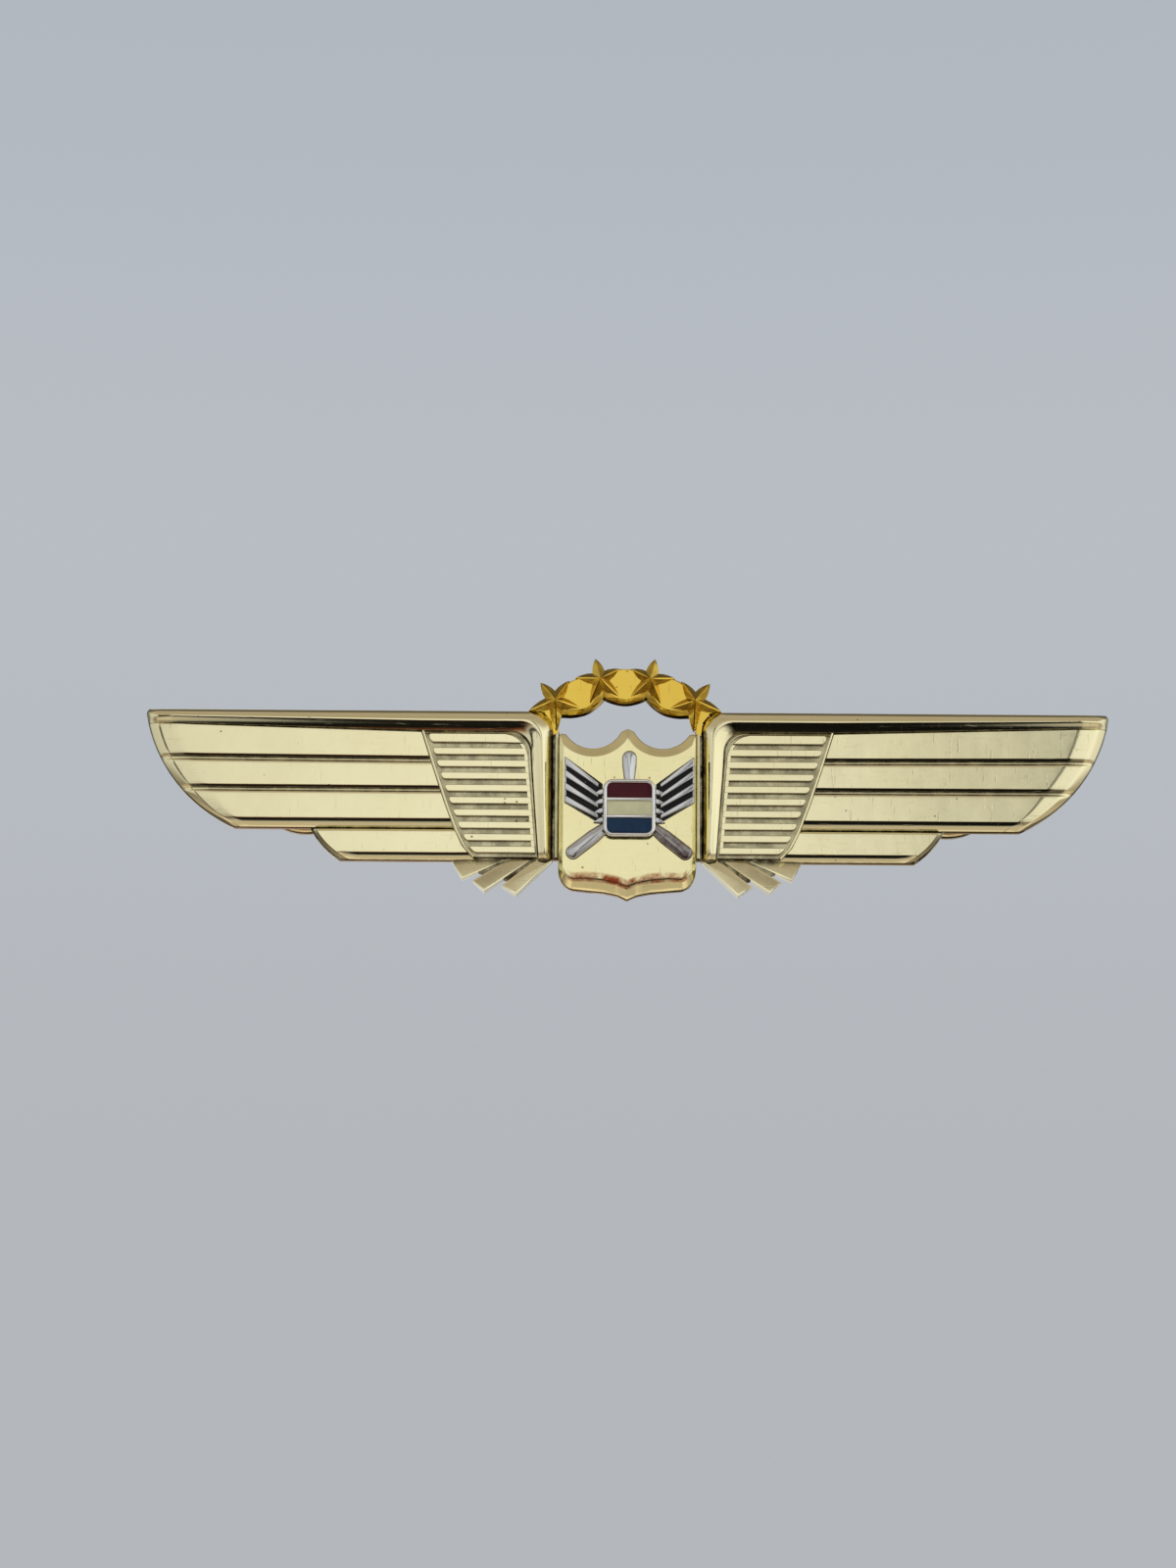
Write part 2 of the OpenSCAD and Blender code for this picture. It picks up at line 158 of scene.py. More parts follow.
class Shape:
    """Vertices in millimetres and faces, gathered into one piece."""

    def __init__(self):
        self.v, self.f, self.s = [], [], []

    def add(self, verts, faces, stain_and_shade=0.0):
        """Painted shade and tarnish: 0 to 1, or -1 for no painted depth shade. One number, or one per
        vertex.
        """
        k = len(self.v)
        self.v += [tuple(p) for p in verts]
        self.f += [tuple(i + k for i in f) for f in faces]
        self.s += list(stain_and_shade) if hasattr(stain_and_shade, "__len__") else [stain_and_shade] * len(verts)
        return self

    def loft(self, sections, stain_and_shade=0.0):
        """Closed sections with equal numbers of points, joined in order and capped."""
        n = len(sections[0])
        last = (len(sections) - 1) * n
        faces = walls(n, len(sections)) + [tuple(range(n))[::-1], tuple(range(last, last + n))]
        return self.add([p for section in sections for p in section], faces, stain_and_shade)

    def hoop(self, sections):
        """Closed sections with equal numbers of points, joined in order and back to the first."""
        n = len(sections[0])
        faces = [tuple(i % (n * len(sections)) for i in f) for f in walls(n, len(sections) + 1)]
        return self.add([p for section in sections for p in section], faces)

    def slab(self, outline, back, front, bevel, depth=None, steps=3, back_bevel=0.0, crown=0.0,
             stain_and_shade=0.0, wall=None):
        """A plate with this outline, from y = -back to y = -front, with a rounded front edge."""
        pts = ccw(clean(outline))
        n = len(pts)
        depth = bevel if depth is None else depth
        rings = [(offset(pts, back_bevel), -back)] if back_bevel else []
        rings += [(pts, -back - back_bevel), (pts, -(front - depth))]
        low = len(rings)
        for s in range(1, steps + 1):
            turn = math.pi / 2 * s / steps
            rings.append((offset(pts, bevel * (1 - math.cos(turn))),
                          -(front - depth) - depth * math.sin(turn)))
        if crown:
            inner = rings[-1][0]
            cx, cz = (sum(c) / n for c in zip(*inner))
            for t in (0.7, 0.35):
                rings.append(([(cx + (x - cx) * t, cz + (z - cz) * t) for x, z in inner],
                              -front - crown * (1 - t * t)))
        wall = stain_and_shade if wall is None else wall
        stains_and_shade = [wall] * (low * n) + [stain_and_shade] * ((len(rings) - low) * n)
        return self.loft([[(x, y, z) for x, z in ring] for ring, y in rings], stains_and_shade)

    def grid(self, rows, stains_and_shade, closed_back):
        """Rows of points, each from left to right, top row first, closed down to y = -closed_back."""
        nr, nc = len(rows), len(rows[0])
        verts = [p for row in rows for p in row]
        dirt_and_shade = [d for row in stains_and_shade for d in row]
        faces = [(a, a + nc, a + nc + 1, a + 1) for r in range(nr - 1)
                 for a in range(r * nc, r * nc + nc - 1)]
        loop = (list(range(nc)) + [r * nc + nc - 1 for r in range(1, nr)]
                + [(nr - 1) * nc + c for c in range(nc - 2, -1, -1)]
                + [r * nc for r in range(nr - 2, 0, -1)])
        k, m = len(verts), len(loop)
        verts += [(verts[i][0], -closed_back, verts[i][2]) for i in loop]
        faces += [(loop[i - 1], loop[i], k + i, k + (i - 1) % m) for i in range(m)]
        faces.append(tuple(range(k, k + m)))
        return self.add(verts, faces, dirt_and_shade + [0] * m)

    def sweep(self, path, section):
        """A closed section of (distance to the left of the path, y), carried along an open path."""
        runs = [heading(a, b) for a, b in zip(path, path[1:])]
        sections = []
        for (x, z), u, v in zip(path, runs[:1] + runs, runs + runs[-1:]):
            mx, mz = mitre(u, v, 0.4)
            sections.append([(x + mx * d, y, z + mz * d) for d, y in section])
        return self.loft(sections)

    def lathe(self, profile, n):
        """A closed profile of (radius, y) turned about the Y axis, in n steps."""
        return self.hoop([[(r * math.cos(a), y, r * math.sin(a)) for r, y in profile]
                          for a in whole_turn(n)])

    def prism_z(self, outline, z0, z1, bevel):
        """An X-Y outline carried along Z, with small chamfers at its two ends."""
        pts = ccw(clean(outline))
        inner = offset(pts, bevel)
        return self.loft([[(x, y, z) for x, y in ring] for ring, z in (
            (inner, z0), (pts, z0 + bevel), (pts, z1 - bevel), (inner, z1))])

    def merge(self, other):
        return self.add(other.v, other.f, other.s)

    def mirrored(self):
        return Shape().add([(-x, y, z) for x, y, z in self.v], [f[::-1] for f in self.f], self.s)

    def moved(self, dx, dy=0.0, dz=0.0):
        return Shape().add([(x + dx, y + dy, z + dz) for x, y, z in self.v], self.f, self.s)


def piece(name, shape, material, nodes, angle=32, body="badge"):
    """A visible piece that stands for these CAD nodes and rides on their body. Edges sharper than
    angle, in degrees, stay sharp."""
    mesh = bpy.data.meshes.new(name)
    mesh.from_pydata([(x * MM, y * MM, z * MM) for x, y, z in shape.v], [], shape.f)
    bm = bmesh.new()
    bm.from_mesh(mesh)
    bmesh.ops.recalc_face_normals(bm, faces=bm.faces)
    bm.to_mesh(mesh)
    bm.free()
    # the flat back gets neither painted shade nor tarnish
    stain_and_shade = list(shape.s)
    for p in mesh.polygons:
        p.use_smooth = True
        if p.normal.y > 0.9:
            for i in p.vertices:
                stain_and_shade[i] = 0.0
    mesh.attributes.new("stain_and_shade", "FLOAT", "POINT").data.foreach_set("value", stain_and_shade)
    mesh.set_sharp_from_angle(angle=math.radians(angle))
    obj = bpy.data.objects.new(name, mesh)
    bpy.context.scene.collection.objects.link(obj)
    mesh.materials.append(material)
    mod = obj.modifiers.new("normals", "WEIGHTED_NORMAL")
    mod.weight = 80
    mod.keep_sharp = True
    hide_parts(*nodes)
    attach(obj, body)


# ---- materials


class Graph:
    """A small helper for building the nodes of a material or of the world."""

    def __init__(self, owner, coord="Object"):
        self.owner = owner
        owner.use_nodes = True
        self.t = owner.node_tree
        self.coord = self.node("ShaderNodeTexCoord").outputs[coord]

    def node(self, kind, **settings):
        """Adds a node. Settings with a capital letter are sockets, and the others are properties."""
        n = self.t.nodes.new(kind)
        for k, x in settings.items():
            if k[0].isupper():
                self.feed(n.inputs[k], x)
            else:
                setattr(n, k, x)
        return n

    def feed(self, socket, x):
        """Gives a socket a number, a colour or another node's output."""
        if isinstance(x, tuple):
            socket.default_value = (*x, 1)
        elif isinstance(x, (int, float)):
            socket.default_value = x
        else:
            self.t.links.new(x, socket)

    def scaled(self, x, y, z, turn=(0, 0, 0)):
        """Coordinates that stretch a texture into lines."""
        m = self.node("ShaderNodeMapping", Vector=self.coord)
        m.inputs["Scale"].default_value = (x, y, z)
        m.inputs["Rotation"].default_value = turn
        return m.outputs["Vector"]

    def noise(self, scale, detail, rough=0.5, vector=None):
        return self.node("ShaderNodeTexNoise", Scale=scale, Detail=detail, Roughness=rough,
                         Vector=vector or self.coord).outputs["Fac"]

    def remap(self, value, a, b, c=0.0, d=1.0, smooth=False):
        """Carries a..b over to c..d."""
        n = self.node("ShaderNodeMapRange", interpolation_type="SMOOTHSTEP" if smooth else "LINEAR",
                      **{"Value": value, "From Min": a, "From Max": b, "To Min": c, "To Max": d})
        return n.outputs["Result"]

    def ramp(self, value, stops):
        """Tones for a value from -1 to 1. Each stop is a value and its grey or colour."""
        n = self.node("ShaderNodeValToRGB", Fac=self.remap(value, -1, 1))
        marks = n.color_ramp.elements
        n.color_ramp.interpolation = "EASE"
        marks.remove(marks[1])
        for i, (at, tone) in enumerate(stops):
            mark = marks.new(0.5 + 0.5 * at) if i else marks[0]
            mark.position = 0.5 + 0.5 * at
            mark.color = (*tone, 1) if isinstance(tone, tuple) else (tone, tone, tone, 1)
        return n.outputs[0]

    def math(self, op, a, b):
        n = self.node("ShaderNodeMath", operation=op)
        self.feed(n.inputs[0], a)
        self.feed(n.inputs[1], b)
        return n.outputs[0]

    def plus(self, a, b):
        return self.math("ADD", a, b)

    def times(self, a, b):
        return self.math("MULTIPLY", a, b)

    def mix(self, fac, a, b, blend="MIX"):
        n = self.node("ShaderNodeMix", data_type="RGBA", blend_type=blend, Factor=fac)
        self.feed(n.inputs[6], a)
        self.feed(n.inputs[7], b)
        return n.outputs[2]

    def tarnish_and_shade(self):
        """The painted shade and tarnish of each vertex."""
        return self.node("ShaderNodeAttribute", attribute_name="stain_and_shade").outputs["Fac"]

    def below(self, high, low):
        """0 where the relief stands out further than high, 1 where it is lower than low, in mm."""
        return self.remap(self.axis("Y"), -high * MM, -low * MM, smooth=True)

    def axis(self, name):
        return self.node("ShaderNodeSeparateXYZ", Vector=self.coord).outputs[name]

    def pits(self, scale, size, keep):
        """Sparse round pits: 1 inside a pit."""
        v = self.node("ShaderNodeTexVoronoi", feature="F1", Scale=scale, Vector=self.coord).outputs
        near = self.remap(v["Distance"], size, size * 0.35)
        pick = self.node("ShaderNodeSeparateColor", Color=v["Color"]).outputs[0]
        return self.times(near, self.math("GREATER_THAN", pick, keep))

    def bump(self, height, distance, strength, under=None):
        b = self.node("ShaderNodeBump", Distance=distance, Strength=strength, Height=height)
        if under is not None:
            self.feed(b.inputs["Normal"], under)
        return b.outputs["Normal"]

    def done(self, color, rough, normal=None, metallic=1.0, specular=0.5):
        """Fills in the shader and returns the material."""
        sockets = self.t.nodes["Principled BSDF"].inputs
        for k, x in (("Base Color", color), ("Roughness", rough), ("Metallic", metallic),
                     ("Specular IOR Level", specular)):
            self.feed(sockets[k], x)
        if normal is not None:
            self.feed(sockets["Normal"], normal)
        return self.owner


def plated(name, bright, deep, brown, high, low, rough=0.09, pit=0.86, back=0.0, least=0.6):
    """Polished plate that turns brown between the heights high and low, in mm, as painted shade in its
    recesses, and is satin at the height back. least is how much of the painted shade and tarnish is
    left in its palest patches, and pit is the share of places without a pit."""
    g = Graph(bpy.data.materials.new(name))
    # painted shade: the deeper the plate lies, the darker it is
    depth = g.below(high, low)
    front = g.remap(g.axis("Y"), -(back + 0.02) * MM, -(back + 0.3) * MM)
    dirt_and_shade = g.tarnish_and_shade()
    blotch = g.noise(900, 4, 0.6)
    # -1 in the vertex values cancels the painted depth shade; the rest adds painted shade and tarnish
    depth = g.times(depth, g.plus(g.math("MINIMUM", dirt_and_shade, 0), 1))
    stain_and_shade = g.math("MAXIMUM", dirt_and_shade, g.times(depth, front))
    stain_and_shade = g.times(stain_and_shade, g.remap(blotch, 0.38, 0.6, least, 1))
    color = g.mix(g.remap(g.noise(130, 3), 0.35, 0.7), bright, deep)
    color = g.mix(stain_and_shade, color, brown)
    spots = g.pits(1100, 0.12, pit)
    color = g.mix(g.times(spots, 0.75), color, brown)
    hair = g.noise(1, 2, 0.5, g.scaled(420, 2600, 5200, (0, 0.22, 0)))
    hair2 = g.noise(1, 2, 0.5, g.scaled(5200, 2600, 500, (0, 0.5, 0)))
    lines = g.plus(g.remap(hair, 0.62, 0.74), g.remap(hair2, 0.66, 0.78))
    fine = g.remap(g.noise(2600, 5, 0.65), 0.3, 0.7, -0.02, 0.04)
    r = g.plus(g.plus(g.times(lines, 0.07), rough), fine)
    r = g.plus(r, g.times(stain_and_shade, 0.28))
    r = g.plus(r, g.remap(g.axis("Y"), -(back + 0.04) * MM, -(back + 0.01) * MM, 0, 0.16))
    wave = g.bump(g.noise(260, 2, 0.4), 0.00006, 0.5)
    skin = g.bump(g.noise(4200, 4, 0.6), 0.000004, 0.35, wave)
    marks = g.bump(g.math("SUBTRACT", g.times(lines, -0.3), spots), 0.00002, 0.5, skin)
    return g.done(color, r, marks)


def silver_plate(name, high, low, bright):
    g = Graph(bpy.data.materials.new(name))
    # painted shade: the silver turns almost black where it lies low, round its edges and in recesses
    depth = g.below(high, low)
    blotch = g.remap(g.noise(1500, 4, 0.6), 0.3, 0.65, 0.4, 1)
    stain_and_shade = g.times(depth, blotch)
    color = g.mix(g.remap(g.noise(420, 3), 0.35, 0.7), bright, tuple(c * 0.8 for c in bright))
    color = g.mix(stain_and_shade, color, (0.035, 0.033, 0.032))
    # the vertex values darken it further with painted reflection and tarnish
    color = g.mix(g.times(g.tarnish_and_shade(), blotch), color, (0.1, 0.055, 0.045))
    r = g.plus(g.remap(g.noise(2300, 4), 0.3, 0.7, 0.12, 0.22), g.times(stain_and_shade, 0.2))
    n = g.bump(g.noise(2200, 4, 0.6), 0.000006, 0.5)
    return g.done(color, r, n)


def enamel(name, tone, shade):
    g = Graph(bpy.data.materials.new(name))
    color = g.mix(g.remap(g.noise(1100, 4), 0.35, 0.7), tone, shade)
    specks = g.pits(2300, 0.2, 0.9)
    color = g.mix(g.times(specks, 0.35), color, (0.3, 0.29, 0.27))
    r = g.remap(g.noise(1800, 4), 0.3, 0.7, 0.16, 0.3)
    n = g.bump(g.noise(700, 2), 0.00003, 0.4)
    return g.done(color, r, n, metallic=0.0, specular=0.16)


def sheet_metal(name, bright, deep, rough):
    """Plated sheet with faint drawing lines and wear."""
    g = Graph(bpy.data.materials.new(name))
    color = g.mix(g.remap(g.noise(380, 4), 0.35, 0.7), bright, deep)
    rub = g.remap(g.noise(1600, 4, 0.65), 0.58, 0.72)
    color = g.mix(g.times(rub, 0.4), color, tuple(c * 0.55 for c in bright))
    hair = g.noise(1, 2, 0.5, g.scaled(900, 5000, 5000))
    r = g.plus(g.remap(hair, 0.4, 0.7, 0, 0.12), rough)
    n = g.bump(g.noise(3000, 3, 0.6), 0.000006, 0.5)
    n = g.bump(hair, 0.000004, 0.4, n)
    return g.done(color, r, n)


gold = plated("gold_plate", (0.93, 0.865, 0.545), (0.9, 0.825, 0.5), (0.05, 0.03, 0.014), 1.25, 1)
shield_gold = plated("shield_gold", (0.91, 0.845, 0.48), (0.88, 0.8, 0.43), (0.43, 0.1, 0.034),
                     1.4, 1.1, pit=0.8, back=0.8, least=0.1)
star_gold = plated("star_gold", (0.83, 0.59, 0.1), (0.77, 0.51, 0.07), (0.13, 0.055, 0.012), 1.3, 0.8,
                   rough=0.07, back=0.6)
silver = silver_plate("aged_silver", 2.98, 2.66, (0.7, 0.71, 0.7))
plaque_silver = silver_plate("plaque_silver", 3.5, 3.2, (0.86, 0.86, 0.84))
black = enamel("black_enamel", (0.004, 0.004, 0.005), (0.01, 0.009, 0.008))
red = enamel("red_enamel", (0.075, 0.006, 0.011), (0.05, 0.004, 0.008))
cream = enamel("cream_enamel", (0.68, 0.62, 0.36), (0.6, 0.55, 0.32))
navy = enamel("navy_enamel", (0.012, 0.038, 0.082), (0.008, 0.026, 0.058))
post_metal = sheet_metal("post_metal", (0.8, 0.76, 0.66), (0.7, 0.66, 0.56), 0.18)
clutch_metal = sheet_metal("clutch_metal", (0.88, 0.76, 0.42), (0.8, 0.66, 0.33), 0.16)
spring_metal = sheet_metal("spring_metal", (0.66, 0.65, 0.62), (0.55, 0.54, 0.51), 0.25)

# ---- wings

# Half the pin's width, and the heights of the top edge, the main feathers' foot and the lower one's.
HALF = 40.0
TOP, BOTTOM, LOW = 4.85, -5.06, -7.74
# The circles of the wing tip and of the lower feather's end: centre and radius.
TIP = (27.46, 6.65, 12.74)
LOW_TIP = (20.4, -2.16, 6.5)
# The root's side and its corner's radius, where the feathers take over, and the plate's thickness.
ROOT, ROOT_R = 6.15, 1.6
JOIN = 17.0
EDGE = 0.95
# How far the feathers start from the divider, and how deep their closed backs lie.
SEAM, UNDER = 0.22, 0.93


def divider(z):
    """Where the slanted line between the inner panel and the feathers is, at height z."""
    pts = [(3.3, 17), (-0.1, 15.9), (-3, 14.92), (-5.06, 14.15), (-6.6, 13.4), (-7.4, 12.7),
           (-7.8, 12.2)]
    for (z0, x0), (z1, x1) in zip(pts, pts[1:]):
        if z >= z1:
            return x0 + (x1 - x0) * (z0 - z) / (z0 - z1)
    return pts[-1][1]


def tip_x(z):
    """The wing tip's outline at height z; its top corner is rounded."""
    cx, cz, r = TIP
    x = cx + math.sqrt(max(r * r - (cz - z) ** 2, 0)) if z < cz else cx + r
    corner = max(0, z - (TOP - 0.3)) / 0.3
    return min(x, HALF) - 0.25 * corner * corner


def low_tip_x(z, inset=0.0):
    """The lower feather's end at height z, moved in by inset."""
    cx, cz, r = LOW_TIP
    return cx + math.sqrt(max((r - inset) ** 2 - (cz - z) ** 2, 0))


# A value of -1 keeps a wall free of the painted shade that the plate would otherwise get with depth.
UNSHADED = -1.0
# Section of the top edge: distance in from the edge at the root end and at the tip, height and painted
# shade.
RIM = [(0, 0, 0.95, 0.3), (0.02, 0.02, 1.25, 0.1), (0.07, 0.06, 1.5, 0), (0.25, 0.18, 1.8, 0),
       (0.5, 0.36, 2.04, 0), (0.7, 0.54, 2.19, 0), (0.84, 0.66, 2.26, 0), (0.97, 0.76, 2.29, 0),
       (1.03, 0.8, 2.28, 0), (1.1, 0.85, 2.255, 0), (1.2, 0.92, 2.21, 0), (1.34, 1.01, 2.145, 0),
       (1.48, 1.1, 2.08, 0), (1.6, 1.17, 2.04, 0), (1.7, 1.22, 2.01, 0), (1.78, 1.26, 1.99, 0.2),
       (1.81, 1.28, 1.82, 1), (1.86, 1.3, 1.77, 1), (1.9, 1.33, 1.785, 0.9), (1.96, 1.38, 1.8, 0)]


def fill_rows(keys, gap):
    """Adds rows between those more than gap apart, so that the tip's curve is followed."""
    out = [keys[0]]
    for a, b in zip(keys, keys[1:]):
        n = max(1, math.ceil(abs(a[1] - b[1]) / gap))
        out += [tuple(p + (q - p) * (i / n) for p, q in zip(a, b)) for i in range(1, n + 1)]
    return out


def step_rows(z_in, z_out, face, drop, rise):
    """A feather's lower edge, the fall below it and the rise on to the next feather: for each row its
    height at the root end and at the tip, its depth and its painted shade, which darkens the groove."""
    rows = [(0.26, face, 0), (0.21, face - 0.006, 0), (0.15, face - 0.022, 0),
            (0.07, face - 0.055, 0), (0, face - 0.09, 0.2), (-0.03, drop + 0.03, 1),
            (-0.07, drop, 0.9), (-0.1, drop + 0.003, 0.4), (-0.22, drop + 0.03, 0.35),
            (-0.25, drop + 0.08, 1), (-0.33, rise - 0.06, 0.9), (-0.37, rise - 0.045, 0.2),
            (-0.5, rise - 0.012, 0), (-0.6, rise, 0)]
    return [(z_in + dz, z_out + dz, h, dirt_and_shade) for dz, h, dirt_and_shade in rows]


# How a feather falls away to its end: the way across the band, and the share of the fall.
BAND = [(0, 0), (0.05, 0.002), (0.1, 0.008), (0.15, 0.018), (0.2, 0.031), (0.3, 0.062),
        (0.45, 0.11), (0.6, 0.158), (0.63, 0.169), (0.66, 0.19), (0.69, 0.222), (0.72, 0.265),
        (0.8, 0.4), (0.9, 0.62), (0.96, 0.78), (1, 1)]
LOW_BAND = [(0, 0), (0.03, 0.02), (0.07, 0.07), (0.14, 0.15), (0.3, 0.31), (0.5, 0.5), (0.7, 0.69),
            (0.86, 0.84), (0.95, 0.93), (1, 1)]


def main_feathers(line_at):
    """line_at is how far across the band the thin dark line at the feathers' ends is: a painted
    reflection.
    """
    keys = [(TOP - a, TOP - b, y, dirt_and_shade) for a, b, y, dirt_and_shade in RIM]
    keys += step_rows(0.72, 0.84, 1.8, 1.52, 1.73)
    keys += step_rows(-1.76, -1.74, 1.75, 1.46, 1.67)
    keys += [(z, z, h, dirt_and_shade) for z, h, dirt_and_shade in (
        (-4.2, 1.69, 0), (-4.27, 1.686, 0), (-4.33, 1.674, 0), (-4.42, 1.642, 0),
        (-4.52, 1.598, 0), (-4.61, 1.551, 0), (-4.67, 1.511, 0), (-4.98, 1.26, 0),
        (-5.04, 1.19, 0.3), (-5.06, 1.05, 0.9))]
    cols, full_slope = 14, 38.0
    rows, stains_and_shade = [], []
    for z_in, z_out, h, dirt_and_shade in fill_rows(keys, 0.3):
        left = JOIN if z_in > 3.0 else divider(z_in) + SEAM
        outer = tip_x(z_out)
        inner = outer - 2.6 + 0.35 * clamp(-2.0 - z_out, 3)
        row = []
        for c in range(cols):
            x = left + (inner - left) * c / cols
            s = clamp((x - JOIN) / (full_slope - JOIN))
            row.append((x, -h, z_in + (z_out - z_in) * s))
        row += [(inner + (outer - inner) * t, -(h + (EDGE - h) * q), z_out) for t, q in BAND]
        rows.append(row)
        # the painted dark line is on the flats only, not in the grooves or on the top edge
        on_flat = dirt_and_shade == 0 and z_out < 3.4 and min(abs(z_out - z) for z in (0.84, -1.74, -4.2)) > 0.5
        line = [0.85 if on_flat and line_at <= t < line_at + 0.04 else 0.0 for t, _ in BAND]
        stains_and_shade.append([dirt_and_shade] * cols + [max(dirt_and_shade * (1 - t * 1.3), d) for (t, _), d in zip(BAND, line)])
    return Shape().grid(rows, stains_and_shade, UNDER)


def lower_feather():
    # each row: its height, its depth and its painted shade, dark in the groove at the top and at the
    # foot
    keys = [(z, z, h, dirt_and_shade) for z, h, dirt_and_shade in (
        (-4.9, 0.95, 1), (-5.06, 1.05, 1), (-5.12, 1.2, 1), (-5.18, 1.38, 0.4),
        (-5.3, 1.46, 0), (-5.4, 1.48, 0), (-7.02, 1.48, 0), (-7.08, 1.476, 0),
        (-7.14, 1.464, 0), (-7.22, 1.435, 0), (-7.31, 1.396, 0), (-7.38, 1.357, 0),
        (-7.43, 1.322, 0), (-7.67, 1.125, 0), (-7.72, 1.06, 0), (-7.74, 0.95, 0.5))]
    rows, stains_and_shade = [], []
    for z, _, h, dirt_and_shade in fill_rows(keys, 0.2):
        at = min(z, -5)
        left, outer = divider(z) + SEAM, low_tip_x(at)
        inner = max(low_tip_x(at, 0.42), left + 0.4)
        row = [(left + (inner - left) * c / 8, -h, z) for c in range(8)]
        row += [(inner + (outer - inner) * t, -(h + (0.85 - h) * q), z) for t, q in LOW_BAND]
        rows.append(row)
        stains_and_shade.append([dirt_and_shade] * 8 + [dirt_and_shade * (1 - t) for t, _ in LOW_BAND])
    return Shape().grid(rows, stains_and_shade, 0.8)


def lean(z):
    """How much the root's rim has narrowed towards its foot, at height z."""
    return 0.085 * max(0.75 - z, 0)


def root_rim():
    """The top edge carried on round the root corner, which is rounded inside as well as outside."""
    width, inside_r = 1.96, 1.8
    ix, iz = ROOT + width + inside_r, TOP - width - inside_r
    outer = [(JOIN - (JOIN - ROOT - ROOT_R) * i / 8, TOP, 1) for i in range(8)]
    inner = [(JOIN - (JOIN - ix) * i / 8, TOP - width) for i in range(8)]
    outer += [(x, z, 1) for x, z in arc(ROOT + ROOT_R, TOP - ROOT_R, ROOT_R, 90, 180, 18)]
    inner += arc(ix, iz, inside_r, 90, 180, 18)
    # towards the foot the edge falls away
    for z_out, z_in, full in ((2, 0, 1), (0, -1.2, 1), (-2.5, -3, 1), (-5, -5, 1),
                              (-6.7, -6.7, 1), (-7.1, -7.1, 0.96), (-7.4, -7.4, 0.86),
                              (-7.6, -7.6, 0.7), (LOW + 0.02, LOW + 0.02, 0.5)):
        outer.append((ROOT, z_out, full))
        inner.append((ROOT + width - lean(z_in), z_in))
    sections, stains_and_shade = [], []
    for (x0, z0, full), (x1, z1) in zip(outer, inner):
        row = []
        for a, _, h, dirt_and_shade in RIM:
            t = a / width
            x, z = x0 + (x1 - x0) * t, z0 + (z1 - z0) * t
            row.append((x, -(EDGE + (h - EDGE) * full), z))
            # painted shade: a dark line along the root side, and a painted shadow towards the foot
            gap = x < ROOT + 0.26 and z < 3.3
            stains_and_shade.append(1.0 if gap else max(dirt_and_shade, 1.8 * (0.96 - full)))
        sections.append(row + [(x1, -UNDER, z1), (x0, -UNDER, z0)])
        stains_and_shade += [0, 0]
    return Shape().loft(sections, stains_and_shade)


def panel_left(z):
    """The inner panel's root-side edge, which curves over at the top."""
    if z > 0.75:
        return 10.34 - math.sqrt(max(2.1 ** 2 - (z - 0.75) ** 2, 0))
    return 8.24 - lean(z)


def land(z0, z1):
    """One raised strip of the inner panel, with a rounded free end at the divider."""
    zm, r = (z0 + z1) / 2, (z0 - z1) / 2
    slant = divider(z0) - divider(zm)
    pts = [(panel_left(z1 + (z0 - z1) * i / 6), z1 + (z0 - z1) * i / 6) for i in range(7)]
    pts.append((divider(z0) - 0.52, z0))
    end = divider(zm) - 0.28
    pts += [(end + slant * math.sin(a) - r * 0.75 * (1 - math.cos(a)), zm + r * math.sin(a))
            for a in (math.radians(d) for d in (60, 30, 0, -30, -60))]
    pts.append((divider(z1) - 0.52, z1))
    return pts


def inner_panel():
    """A floor darkened with painted shade, ten raised strips, and the spine that joins them at the
    root, whose walls carry painted shade too.
    """
    s = Shape()
    floor = [(7.9, 3.05), (7.9, 0), (7.2, -7.45)]
    floor += [(divider(z), z) for z in (-7.45, -6.6, -5.06, -3, -0.1, 3.05)]
    s.slab(floor, 0.6, 1.4, 0.02, steps=1, stain_and_shade=0.62)
    grooves = [1.86 - 1.03 * i for i in range(9)]
    tops = [2.84] + [z - 0.22 for z in grooves]
    lows = [z + 0.22 for z in grooves] + [-7.16]
    for a, b in zip(tops, lows):
        s.slab(land(a, b), 0.9, 1.82, 0.07, 0.1, wall=0.9)
    zs = [2.0 - 9.16 * i / 30 for i in range(31)]
    spine = [(panel_left(z) + 0.3, z) for z in zs[::-1]] + [(panel_left(z) + 0.005, z) for z in zs]
    s.slab(spine, 0.9, 1.8, 0.04, steps=2, wall=0.9)
    return s


def ridge():
    """A thin round ridge along the divider."""
    shift, r, crest, top, low = 0.04, 0.11, 1.86, 3.2, -7.5
    path = [(divider(z) + shift, z) for z in (top + (low - top) * i / 26 for i in range(27))]
    section = [(r * math.cos(a), -(crest - r) - r * math.sin(a))
               for a in [math.pi * k / 6 for k in range(7)]]
    return Shape().sweep(path, section + [(-r, -0.9), (r, -0.9)])


